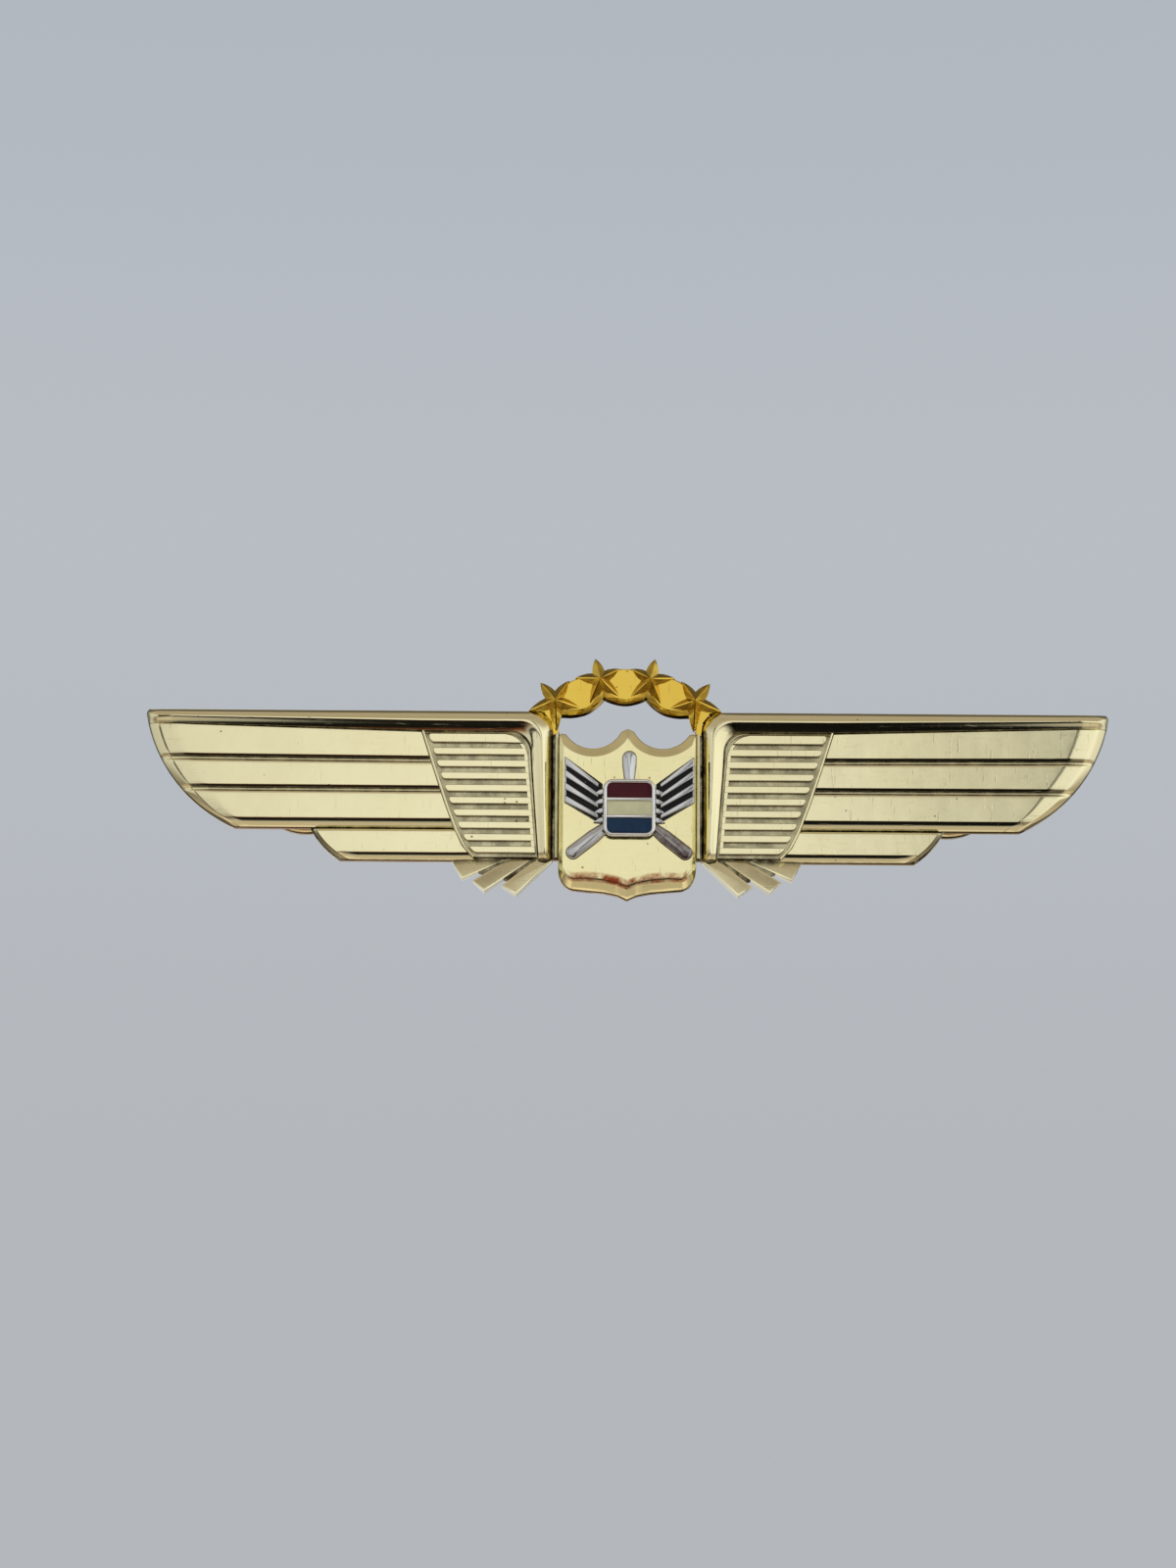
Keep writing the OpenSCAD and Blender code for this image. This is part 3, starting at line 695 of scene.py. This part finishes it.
def tail_feathers():
    """Three short feathers that lean back towards their tips, and the plate under them."""
    s = Shape()
    # each feather's face gets its own amount of painted shade, and the walls none
    for pts, h, tilt, stain_and_shade in (
            ([(6.2, -7.6), (6.2, -7.78), (9.13, -10.63), (10.3, -9.88), (7.5, -7.6)], 1.62, 0.25, 0.2),
            ([(7.85, -7.6), (11.75, -10.35), (12.7, -9.46), (9.75, -7.6)], 1.5, 0.285, 0.33),
            ([(10, -7.6), (13.6, -9.3), (14.55, -7.6)], 1.38, 0.27, 0.2)):
        feather = Shape().slab(pts, 0, h, 0.15, 0.05, steps=1, back_bevel=0.05, stain_and_shade=stain_and_shade,
                               wall=UNSHADED)
        feather.v = [(x, y + tilt * (z + 8.9) if y < -1.0 else y, z) for x, y, z in feather.v]
        s.merge(feather)
    s.slab([(6.9, -7.5), (8.9, -9.45), (10.6, -9.2), (12.5, -8.6), (13.4, -7.5)], 0.02, 1, 0.03,
           steps=1)
    return s


def plate_outline():
    right = [(ROOT, 1.4)] + arc(ROOT + ROOT_R, TOP - ROOT_R, ROOT_R, 180, 90, 14)
    zs = [4.8, 4.7, 4.55] + [4.4 + (BOTTOM - 4.4) * (i / 40) for i in range(41)]
    right += [(HALF - 0.55, TOP)] + [(tip_x(z), z) for z in zs]
    right += [(low_tip_x(z), z) for z in (-5.07, -5.5, -6, -6.5, -7, -7.4, LOW)]
    right += [(ROOT, LOW), (ROOT, -7.6)]
    return right + [(-x, z) for x, z in right[::-1]]


def back_plate():
    s = Shape().slab(plate_outline(), 0, EDGE, 0.05, steps=2, back_bevel=0.12, wall=UNSHADED)
    # the web behind the shield, dark with painted shade
    s.slab(box(-6.2, -7.55, 6.2, 1.35), 0.5, 0.98, 0.02, steps=1, stain_and_shade=1.0)
    for x in (-5.95, 5.95):
        s.slab(box(x - 0.3, 1.3, x + 0.3, 3.1), 0.5, 0.96, 0.02, steps=1, stain_and_shade=1.0)
    # a low flange down each side of the shield, its walls dark with painted shade
    for x in (-5.87, 5.87):
        s.slab(box(x - 0.15, -7.55, x + 0.15, 2.95), 0.9, 1.62, 0.1, steps=2, stain_and_shade=0.35, wall=1.0)
    return s


relief = Shape()
for part in (lower_feather(), root_rim(), inner_panel(), tail_feathers(), ridge()):
    relief.merge(part)
whole = back_plate()
whole.merge(relief).merge(main_feathers(0.05))
whole.merge(relief.mirrored()).merge(main_feathers(0.63).mirrored())
piece("wing_plate_visual", whole, gold, ["wing_plate"], angle=40)

# ---- shield

# Half of the shield's width, and how far its flat face stands out.
SHIELD, FLAT_Y = 5.67, 2.6


def shield_ring(q):
    """The shield's outline where its bevel starts, q = 0, or ends, q = 1."""
    r = 2.66 + 0.76 * q
    right = [(0, 3.24 - 0.88 * q)] + arc(2.89, 4.22, r, 208 + 5.5 * q, 326 - 13 * q, 22)
    side = SHIELD - 0.36 * q
    right += [(5.45 - 0.17 * q, 2.82 - 1.09 * q), (side, 2.62 - 0.97 * q)]
    right += [(side, z) for z in (0, -4, -8.0 + 0.2 * q)]
    right += arc(4.17, -8.75 + 0.45 * q, 1.5 - 0.36 * q, 0, -78, 10)
    right += [(3.4, -10.32 + q), (1.9, -10.45 + q), (0.8, -10.68 + q)]
    return right + [(0, -11.05 + 1.05 * q)] + [(-x, z) for x, z in right[:0:-1]]


def bevel_depth(h, z):
    """The bevel falls further at the foot than round the rest."""
    return FLAT_Y - (FLAT_Y - h) * (1.0 if z < -8 else 0.55) if h > 1.6 else h


def centre_shield():
    """Rings from the back edge, over the bevel, to the flat face, each with its painted shade and rust.
    """
    rings = [(offset(ccw(shield_ring(0)), 0.1), 0.8, 1)]
    rings += [(ccw(shield_ring(q)), h, d) for q, h, d in (
        (0, 0.92, 1), (0, 1.3, 0.3), (0, 1.72, 0), (0.03, 1.84, 0), (0.1, 1.95, 0),
        (0.3, 2.11, 0), (0.6, 2.32, 0), (0.7, 2.395, 0), (0.76, 2.44, 0.8), (0.9, 2.545, 1),
        (0.98, 2.585, 1), (1.02, FLAT_Y, 1))]
    # further rings on the flat face lie close together, except along the foot
    flat = rings[-1][0]
    for scale, rise, d in ((0.995, 0.22, 1), (0.99, 0.36, 0.75), (0.985, 0.5, 0)):
        rings.append(([(x * scale, (z + 4) * scale - 4 + rise * clamp((-8.3 - z) / 0.6))
                       for x, z in flat], FLAT_Y, d))
    sections = [[(x, -bevel_depth(h, z), z) for x, z in ring] for ring, h, _ in rings]
    # the low rings carry painted shade all round; the rust line shows along the foot only
    stains_and_shade = [d if h < 1.4 or z < -8.7 and abs(x) < 4.9 else 0.0 for ring, h, d in rings
              for x, z in ring]
    return Shape().loft(sections, stains_and_shade)


piece("centre_shield_visual", centre_shield(), shield_gold, ["centre_shield"], angle=38)

# ---- stars

# The arc's centre, its radius and the degrees between two stars.
ARC_Z, ARC_R, PITCH = -1.6, 9.28, 25.8
# How far a star's notches and its five points are from its centre.
NOTCH = 0.88
ARMS = (1.87, 1.88, 2.3, 2.3, 2.08)
END_ARMS = (2, 2.1, 2.3, 2.6, 2.35)
# Heights of a star's rim and centre, the fall of its ridges, and half the ridges' width.
RIM_Y, PEAK_Y, FALL = 1.6, 2.5, 0.84
RIDGE = 0.05
# The darkest painted shade on a facet.
SHADE = 0.85


def on_arc(angle, r):
    a = math.radians(angle)
    return r * math.sin(a), ARC_Z + r * math.cos(a)


def star(angle, arms):
    """A faceted star: a narrow flat ridge runs from the high centre to each leaf-shaped point."""
    cx, cz = on_arc(angle, ARC_R)
    s0, w0 = NOTCH * math.cos(math.radians(36)), NOTCH * math.sin(math.radians(36))
    along = (0, 0.3, 0.6, 0.82, 0.94)
    mid, per = len(along), 2 * len(along)
    loop, shade, inner, inner_shade = [], [], [], []
    for k, reach in enumerate(arms):
        a = math.radians(90 - angle + 72 * k)
        u, v = (math.cos(a), math.sin(a)), (-math.sin(a), math.cos(a))
        at = lambda d, w: (cx + u[0] * d + v[0] * w, cz + u[1] * d + v[1] * w)
        side = [(s0 + (reach - s0) * t, w0 * (1 - t ** 1.8)) for t in along]
        loop += [at(d, -w) for d, w in side] + [at(reach, 0)] + [at(d, w) for d, w in side[:0:-1]]
        # painted shade: the facets that face down are darkened, and the ridges stay bright
        low, high = SHADE * max(v[1], 0), SHADE * max(-v[1], 0)
        before = SHADE * max(-math.cos(a - math.radians(72)), 0)
        shade += [0.6 * max(low, before)] + [low] * (mid - 1) + [0] + [high] * (mid - 1)
        for d, w in side:
            crest = PEAK_Y - FALL * d / reach
            flat, near = min(RIDGE, 0.3 * w), min(2 * RIDGE, 0.6 * w)
            shoulder = crest - (crest - RIM_Y) * (near - flat) / (w - flat)
            for x, y in ((-near, shoulder), (-flat, crest), (flat, crest), (near, shoulder)):
                px, pz = at(d, x)
                inner.append((px, -y, pz))
            inner_shade += [low, 0, 0, high]
    n = len(loop)
    verts = [(x, -y, z) for ring, y in ((offset(loop, 0.06), 0.62), (loop, 1.2), (loop, RIM_Y))
             for x, z in ring]
    verts += [(cx, -PEAK_Y, cz)] + inner
    top = 3 * n
    faces = [tuple(range(n))[::-1]] + walls(n, 3)
    for k in range(len(arms)):
        tip = 2 * n + k * per + mid
        rows = []
        for i in range(mid):
            first = top + 1 + (k * mid + i) * 4
            rows.append([2 * n + k * per + i] + list(range(first, first + 4))
                        + [2 * n + (k * per + per - i) % n])
        for c in range(5):
            faces.append((top, rows[0][c], rows[0][c + 1]))
            for i in range(mid - 1):
                faces.append((rows[i][c], rows[i + 1][c], rows[i + 1][c + 1], rows[i][c + 1]))
            faces.append((rows[-1][c], tip, rows[-1][c + 1]))
    # the star's side walls are darkened with painted shade
    return Shape().add(verts, faces, [0.7] * n + [0.35] * n + shade + [0] + inner_shade)


def band():
    """The lobed strip that the stars stand on; its face shows between them as flats."""
    rings = []
    # each ring: how far in, its depth and its painted shade, darkest at the foot
    for t, h, dirt_and_shade in ((0, 0.6, 0.9), (0.06, 0.75, 0.6), (0.2, 1.3, 0.35), (0.55, 1.53, 0.2),
                       (1, 1.72, 0)):
        outer, inner = [], []
        for i in range(81):
            a = -PITCH * 1.5 + PITCH * 3 * (i - 4) / 72
            past = max(0, abs(a) - PITCH * 1.5)
            lobe = abs(math.cos(math.radians(a / PITCH * 180))) ** 0.8 if not past else 0.0
            # the face is a lens between two stars; the edge below it is a row of lobes
            r_out = 9.77 + 0.36 * lobe - 0.06 * past - t * (0.62 - 0.42 * lobe)
            r_in = 7.68 - 0.65 * lobe + 0.12 * past + t * (1.05 - 0.65 * lobe)
            outer.append(on_arc(a, r_out))
            inner.append(on_arc(a, r_in))
        rings.append((outer + inner[::-1], h, dirt_and_shade))
    n = len(rings[0][0])
    verts = [(x, -h, z) for ring, h, _ in rings for x, z in ring]
    faces = [tuple(range(n))[::-1]] + walls(n, len(rings))
    # the face as quads from the outer edge to the inner one
    k = (len(rings) - 1) * n
    faces += [(k + i, k + i + 1, k + n - 2 - i, k + n - 1 - i) for i in range(80)]
    return Shape().add(verts, faces, [dirt_and_shade for _, _, dirt_and_shade in rings for _ in range(n)])


def leg():
    """Fills the corner between an end star and the wing root, and reaches down beside the shield."""
    s = Shape()
    # the strip beside the shield is dark with painted shade
    s.slab(box(5.72, 0.4, 6.02, 3.2), 0.8, 1.25, 0.05, steps=2, stain_and_shade=0.9)
    s.slab([(5.3, 5.3), (5.72, 4.3), (5.74, 2.9), (6.2, 2.7), (6.35, 3.9), (6.9, 4.6), (7.9, 4.8),
            (7.5, 5.15), (6.4, 5.7)], 0.65, 1.58, 0.1, steps=2)
    return s


# The arc and the emblem sit a little off the centre line, as in life.
ARC_ASIDE, EMBLEM_ASIDE, EMBLEM_DROP = -0.22, 0.15, 0.2

arc_shape = band()
for half in (star(PITCH / 2, ARMS), star(PITCH * 1.5, END_ARMS)):
    arc_shape.merge(half).merge(half.mirrored())
arc_shape = arc_shape.moved(ARC_ASIDE).merge(leg().moved(ARC_ASIDE / 2)).merge(leg().mirrored())
piece("star_arc_visual", arc_shape, star_gold, ["star_arc"], angle=12)

# ---- silver device

# The height of the propeller's hub, and how far the shield's flat face stands out.
HUB, FACE = -3.4, FLAT_Y


def in_place(shape):
    """The emblem's parts are drawn on the centre line and then moved."""
    return shape.moved(EMBLEM_ASIDE, dz=-EMBLEM_DROP)


def blade(angle, reach, stain_and_shade):
    """One blade, widening to a round end, angle degrees clockwise from straight up."""
    right = [(0.36, 1.2), (0.42, 2.2), (0.52, 3), (0.6, 3.7), (0.61, reach)]
    pts = right + arc(0, reach, 0.61, 8, 172, 12) + [(-x, z) for x, z in right[::-1]]
    return Shape().slab(turned(pts, angle, HUB), FACE - 0.05, FACE + 0.34, 0.27, 0.3, steps=6,
                        crown=0.1, stain_and_shade=stain_and_shade)


prop = Shape()
# the lower-right blade is darkened with painted reflection and tarnish
for blade_angle, blade_reach, blade_stain_and_shade in ((0, 4.3, 0), (128, 5.85, 0.8), (-128, 5.85, 0.1)):
    prop.merge(blade(blade_angle, blade_reach, blade_stain_and_shade))
prop.slab(circle(0, HUB, 1.7, 48), FACE - 0.05, FACE + 0.5, 0.08)
piece("propeller_visual", in_place(prop), silver, ["propeller"], angle=50)


def fan_outline(inset=0.0):
    end = 5.3 - inset * 0.4
    return [(2.2, -1.3 - inset), (end, 0.98 - inset), (end, -2.9 + inset), (2.2, -4.75 + inset)]


def feather_bars():
    """Four long feathers, the strip that joins their ends, and four short inner ones."""
    s = Shape()
    for i in range(4):
        top_out, top_in = 0.96 - 1.08 * i, -1.36 - 0.86 * i
        thick = 0.7 if i == 0 else 0.6
        pts = [(2.55, top_in + 0.06), (5.32, top_out), (5.32, top_out - thick), (2.55, top_in - 0.3)]
        s.slab(pts, FACE + 0.05, FACE + 0.47, 0.09, 0.12, steps=4)
    s.slab([(5.2, 0.9), (5.36, 0.9), (5.36, -2.85), (5.2, -2.75)], FACE, FACE + 0.3, 0.04, steps=2)
    # short inner feathers, whose tips show beside the plaque
    for i in range(4):
        z = -2.0 - 0.78 * i
        s.slab([(2, z + 0.3), (2.5, z + 0.16), (2.95, z - 0.2), (2.45, z - 0.26), (2, z - 0.24)],
               FACE + 0.05, FACE + 0.42, 0.07, 0.1)
    return s


back_fan = Shape().slab(fan_outline(), FACE - 0.03, FACE + 0.15, 0.03, steps=2)
silver_fan = Shape().merge(back_fan).merge(feather_bars())
fill_fan = Shape().slab(fan_outline(0.05), FACE + 0.1, FACE + 0.27, 0.05, steps=2)
for shape, part, slot, look, sharp in ((silver_fan, "fan", "aged_silver", silver, 50),
                                       (fill_fan, "fan_enamel", "black_enamel", black, 32)):
    for side, half in (("right", shape), ("left", shape.mirrored())):
        piece(f"{side}_{part}_visual", in_place(half), look, [f"{side}_{part}"], sharp)

# The plaque's back, its size, the width of its rim and bars, and the height of one enamel band.
BASE = FACE + 0.5
PLAQUE_W, PLAQUE_H, RIM_W, BAR = 4.3, 4.8, 0.34, 0.22
BAND_H = (PLAQUE_H - 2 * RIM_W - 2 * BAR) / 3


def rounded(w, h, r):
    """A rectangle with rounded corners."""
    pts = []
    for k, (sx, sz) in enumerate(((1, 1), (-1, 1), (-1, -1), (1, -1))):
        pts += arc(sx * (w / 2 - r), sz * (h / 2 - r), r, 90 * k, 90 * k + 90, 8)
    return pts


def plaque():
    """A dished rim, which is round in section, and two bars across."""
    outline = rounded(PLAQUE_W, PLAQUE_H, 0.8)
    s = Shape().loft([[(x, -BASE - h, z + HUB) for x, z in offset(outline, inset)] for inset, h in (
        (0.08, 0), (0, 0.08), (0, 0.3), (0.025, 0.4), (0.085, 0.475), (0.17, 0.5),
        (0.255, 0.475), (0.315, 0.4), (RIM_W, 0.3), (RIM_W, 0.18))])
    x = PLAQUE_W / 2 - 0.2
    for side in (-1, 1):
        z = HUB + side * (BAND_H + BAR) / 2
        s.slab(box(-x, z - 0.12, x, z + 0.12), BASE + 0.1, BASE + 0.47, 0.07)
    return s


def band_field(place):
    """One enamel band: 1 is the top one, 0 the middle and -1 the foot."""
    under, r = 0.03, 0.5
    w, h = PLAQUE_W / 2 - 0.3, PLAQUE_H / 2 - 0.3
    middle = place * (BAND_H + BAR)
    low, high = middle - BAND_H / 2 - under, middle + BAND_H / 2 + under
    if place == 0:
        pts = box(-w, low, w, high)
    else:
        flat = low if place > 0 else high
        edge = arc(w - r, h - r, r, 0, 90, 8) + arc(r - w, h - r, r, 90, 180, 8)
        pts = [(-w, flat), (w, flat)] + [(x, place * z) for x, z in edge]
    return [(x, z + HUB) for x, z in pts]


piece("plaque_visual", in_place(plaque()), plaque_silver, ["plaque"], angle=50)
for place, hue, look in ((1, "red", red), (0, "cream", cream), (-1, "navy", navy)):
    field = Shape().slab(band_field(place), BASE + 0.15, BASE + 0.34, 0.06, crown=0.03)
    piece(f"enamel_{hue}_visual", in_place(field), look, [f"enamel_{hue}"])

# ---- posts and clutches

# Where the posts stand, how far behind the plate a clutch starts, and where its hinge pins are.
POST_X, GAP = 27, 3.4
HINGE_X, HINGE_Y = 1.9, 2.6

# Each shape is drawn about its post, and a clutch's parts with its front face at y = 0.


def post_shape():
    """A soldered pad and a pointed post with a waist."""
    return Shape().lathe([
        (0, 0), (1.62, 0), (1.7, 0.06), (1.7, 0.26), (1.62, 0.38), (1.42, 0.46), (0.85, 0.54),
        (0.66, 0.66), (0.6, 0.85), (0.6, 3.46), (0.58, 3.54), (0.47, 3.7), (0.45, 3.78), (0.45, 5.04),
        (0.47, 5.12), (0.58, 5.26), (0.6, 5.34), (0.6, 7.85), (0.58, 7.98), (0.13, 9.12), (0.07, 9.18),
        (0, 9.2)], 40)


def cup_shape():
    """A round cup with a rolled edge and a hole for the post."""
    return Shape().lathe([
        (0.97, 0.02), (1.05, 0), (1.9, 0), (2, 0.05), (2.2, 0.05), (2.3, 0), (4.2, 0), (4.45, 0.04),
        (4.62, 0.14), (4.72, 0.3), (4.75, 0.5), (4.75, 1.45), (4.72, 1.6), (4.64, 1.68), (4.55, 1.7),
        (4.46, 1.68), (4.38, 1.6), (4.36, 1.45), (4.36, 0.55), (4.32, 0.42), (4.2, 0.35), (1, 0.35),
        (0.95, 0.3), (0.95, 0.06)], 72)


def insert_shape():
    """The disc inside the cup, its two cheeks and the two hinge pins between them."""
    s = Shape().lathe([(0.97, 0.4), (4.2, 0.4), (4.25, 0.45), (4.25, 0.6), (4.2, 0.65), (2.9, 0.65),
                       (2.8, 0.69), (2.6, 0.69), (2.5, 0.65), (0.97, 0.65)], 72)
    cheek = [(-2.6, 0.5), (2.6, 0.5), (2.6, HINGE_Y)] + arc(HINGE_X, HINGE_Y, 0.7, 0, 90, 8)
    cheek += [(0.9, 3.1), (-0.9, 3.1)] + arc(-HINGE_X, HINGE_Y, 0.7, 90, 180, 8)
    for z in (-2.3, 2):
        s.prism_z(cheek, z, z + 0.3, 0.04)
    for x in (-HINGE_X, HINGE_X):
        s.prism_z(circle(x, HINGE_Y, 0.3, 20), -2.38, 2.38, 0.06)
    return s


def spring_shape():
    """A flat ring round the post and the two strips that stand on it."""
    s = Shape().lathe([(1.15, 0.66), (1.9, 0.66), (1.9, 0.77), (1.15, 0.77)], 40)
    for side in (-1, 1):
        strip = [(1.78, 0.67), (1.62, 0.78), (1.56, 1.1), (1.58, 1.5), (1.68, 1.5), (1.67, 1.12),
                 (1.72, 0.86), (1.86, 0.76)]
        s.prism_z([(side * x, y) for x, y in strip], -0.9, 0.9, 0.03)
    return s


def finger_wing():
    """A bent sheet, wider than the tab's neck, with two pressed grip ridges."""
    half_sheet, grip, ridge_rows, cells = 0.16, 0.09, (4, 6), 8
    line = [(3, 2.58), (3.6, 2.6), (4.05, 2.72), (4.35, 3.05), (4.7, 3.66), (5.05, 4.3), (5.33, 4.86),
            (5.52, 5.22)]
    half_widths = [1.72, 2.3, 2.55, 2.6, 2.5, 2.2, 1.7, 0.95]
    sections = []
    for i, ((x, y), w) in enumerate(zip(line, half_widths)):
        a, b = line[max(i - 1, 0)], line[min(i + 1, len(line) - 1)]
        along = heading(a, b)
        faces = []
        for side in (1, -1):
            row = []
            for q in range(cells + 1):
                raised = grip * (1 - abs(q - 4) / 4.5) if i in ridge_rows else 0.0
                out = side * half_sheet + raised
                row.append((x - along.y * out, y + along.x * out, -w + 2 * w * q / cells))
            faces.append(row)
        sections.append(faces[0] + faces[1][::-1])
    return Shape().loft(sections)


def tab_shape():
    """The squeeze tab on the +X side: its barrel, its jaw beside the post, its neck and its wing."""
    barrel = [(0.36, -1.85), (0.65, -1.85), (0.65, 1.85), (0.36, 1.85)]
    s = Shape().hoop([[(HINGE_X + r * math.cos(a), HINGE_Y + r * math.sin(a), z) for r, z in barrel]
                      for a in whole_turn(28)])
    s.prism_z([(1.5, 2.95), (0.72, 1.55), (0.68, 1.35), (0.7, 1.1), (0.8, 1.06), (0.98, 1.12),
               (1.12, 1.4), (1.62, 2.02)], -1.2, 1.2, 0.06)
    s.prism_z([(2.3, 2.98), (3.25, 2.78), (3.25, 2.42), (2.4, 2.38)], -1.72, 1.72, 0.05)
    return s.merge(finger_wing())


for side, post_x in (("left", -POST_X), ("right", POST_X)):
    piece(f"{side}_post_visual", post_shape().moved(post_x), post_metal, [f"{side}_post"])
    plus, minus = tab_shape(), tab_shape().mirrored()
    outer, inner = (plus, minus) if side == "right" else (minus, plus)
    for part, shape, body, slot, look, node in (
            ("cup", cup_shape(), "cup", "clutch_metal", clutch_metal, "clutch_cup"),
            ("insert", insert_shape(), "core", "clutch_metal", clutch_metal, "clutch_insert"),
            ("spring", spring_shape(), "core", "spring_metal", spring_metal, "clutch_spring"),
            ("outer_tab", outer, "outer_tab", "clutch_metal", clutch_metal, "tab_outer"),
            ("inner_tab", inner, "inner_tab", "clutch_metal", clutch_metal, "tab_inner")):
        piece(f"{side}_{part}_visual", shape.moved(post_x, GAP), look, [f"{side}_{node}"],
              body=f"{side}_{body}")

# ---- surroundings


def warm(v, cast=0.15):
    """A grey with a warm cast."""
    return v * (1 + cast), v, v * (1 - cast)


def by_height(g, *stops):
    """Tones by elevation, from -90 degrees, straight down, to 90, straight up."""
    return g.ramp(g.axis("Z"), [(math.sin(math.radians(e)), tone) for e, tone in stops])


def make_world():
    """Reflections come from ramps of tone. The camera and matt surfaces see a plain backdrop."""
    world = bpy.data.worlds.new("studio")
    bpy.context.scene.world = world
    world.use_nodes = True
    world.node_tree.nodes.clear()
    g = Graph(world, "Generated")
    # seen in surfaces that tilt up or down
    above = ((-5, 0.7), (4, 0.86), (24, 0.82), (42, warm(0.41)), (64, warm(0.35)), (90, warm(0.38)))
    left = by_height(
        g, (-90, warm(0.9)), (-80, warm(0.8)), (-72, warm(0.48)), (-58, warm(0.46)), (-50, 0.32),
        (-44, 0.04), (-38, 0.008), (-26, 0.008), (-19, (0.1, 0.034, 0.018)),
        (-12, (0.26, 0.12, 0.07)), *above)
    right = by_height(
        g, (-90, warm(0.9)), (-80, warm(0.8)), (-72, warm(0.46)), (-60, warm(0.44)), (-54, 0.3),
        (-48, 0.03), (-42, 0.006), (-14, 0.008), (-9, (0.3, 0.2, 0.1)), *above)
    ahead = g.mix(g.ramp(g.axis("X"), [(-0.02, 0), (0.02, 1)]), left, right)
    # seen in surfaces that tilt towards a wing tip
    beside = by_height(
        g, (-90, warm(0.8)), (-60, warm(0.75)), (-40, warm(0.4)), (-28, warm(0.3)), (-12, 0.8),
        (20, 0.85), (42, warm(0.4)), (90, warm(0.38)))
    off_side = g.ramp(g.axis("X"), [(-1, 1), (-0.42, 1), (-0.24, 0), (0.24, 0), (0.42, 1), (1, 1)])
    vertical = g.mix(off_side, ahead, beside)
    # two narrow dark strips outline the feathers' ends, one for each wing
    strips = g.ramp(g.axis("X"), [
        (-1, 0.7), (-0.6, 0.85), (-0.5, 0.85), (-0.46, 0.03), (-0.4, 0.03), (-0.36, 0.8),
        (-0.15, 0.84), (-0.03, 1), (0.05, 0.95), (0.14, 0.66), (0.17, 0.56), (0.18, 0.03),
        (0.235, 0.03), (0.25, 0.9), (0.42, 1.1), (0.8, 1.15), (1, 0.9)])
    near_level = by_height(g, (-50, 0), (-30, 1), (28, 1), (40, 0))
    sideways = g.mix(near_level, (0.95, 0.95, 0.95), strips)
    # behind the pin it is darker than in front
    behind = g.ramp(g.axis("Y"), [(-1, 1), (0.16, 1), (0.4, 0.3), (0.7, 0.25), (0.9, 0.9), (1, 0.95)])
    sideways = g.mix(1, sideways, behind, "MULTIPLY")
    reflected = g.node("ShaderNodeBackground", Color=g.mix(1, vertical, sideways, "MULTIPLY"),
                       Strength=1.05)
    # the camera and matt surfaces see this instead
    backdrop = by_height(
        g, (-90, (0.43, 0.45, 0.475)), (2, (0.455, 0.475, 0.505)), (14, (0.48, 0.51, 0.55)),
        (26, (0.43, 0.47, 0.515)), (90, (0.4, 0.435, 0.485)))
    seen = g.node("ShaderNodeBackground", Color=backdrop)
    pick = g.node("ShaderNodeMixShader", Fac=g.node("ShaderNodeLightPath").outputs["Is Glossy Ray"])
    g.feed(pick.inputs[1], seen.outputs[0])
    g.feed(pick.inputs[2], reflected.outputs[0])
    g.node("ShaderNodeOutputWorld", Surface=pick.outputs[0])


def area_light(name, where, size, power):
    """A round light that faces the pin and isn't seen in its reflections."""
    data = bpy.data.lights.new(name, "AREA")
    data.shape = "DISK"
    data.size = size
    data.energy = power
    obj = bpy.data.objects.new(name, data)
    bpy.context.scene.collection.objects.link(obj)
    obj.location = where
    obj.rotation_euler = (-Vector(where)).to_track_quat("-Z", "Y").to_euler()
    obj.visible_glossy = False


make_world()
area_light("key", (-0.25, -0.35, 0.45), 0.25, 1.2)
area_light("back_fill", (0.3, 0.5, 0.3), 0.3, 1)


def make_floor():
    """A round sheet of pale paper, well below the pin."""
    radius, level, n = 0.5, -0.1, 64
    mesh = bpy.data.meshes.new("floor")
    rim = [(radius * math.cos(a), radius * math.sin(a), level) for a in whole_turn(n)]
    mesh.from_pydata(rim, [], [tuple(range(n))])
    obj = bpy.data.objects.new("floor", mesh)
    bpy.context.scene.collection.objects.link(obj)
    g = Graph(bpy.data.materials.new("floor_paper"))
    color = g.mix(g.remap(g.noise(30, 3), 0.3, 0.7), (0.8, 0.82, 0.85), (0.78, 0.8, 0.83))
    mesh.materials.append(g.done(color, 0.8, metallic=0.0))
    obj.visible_glossy = False


make_floor()

view = bpy.context.scene.view_settings
view.view_transform = "Standard"
view.look = "None"
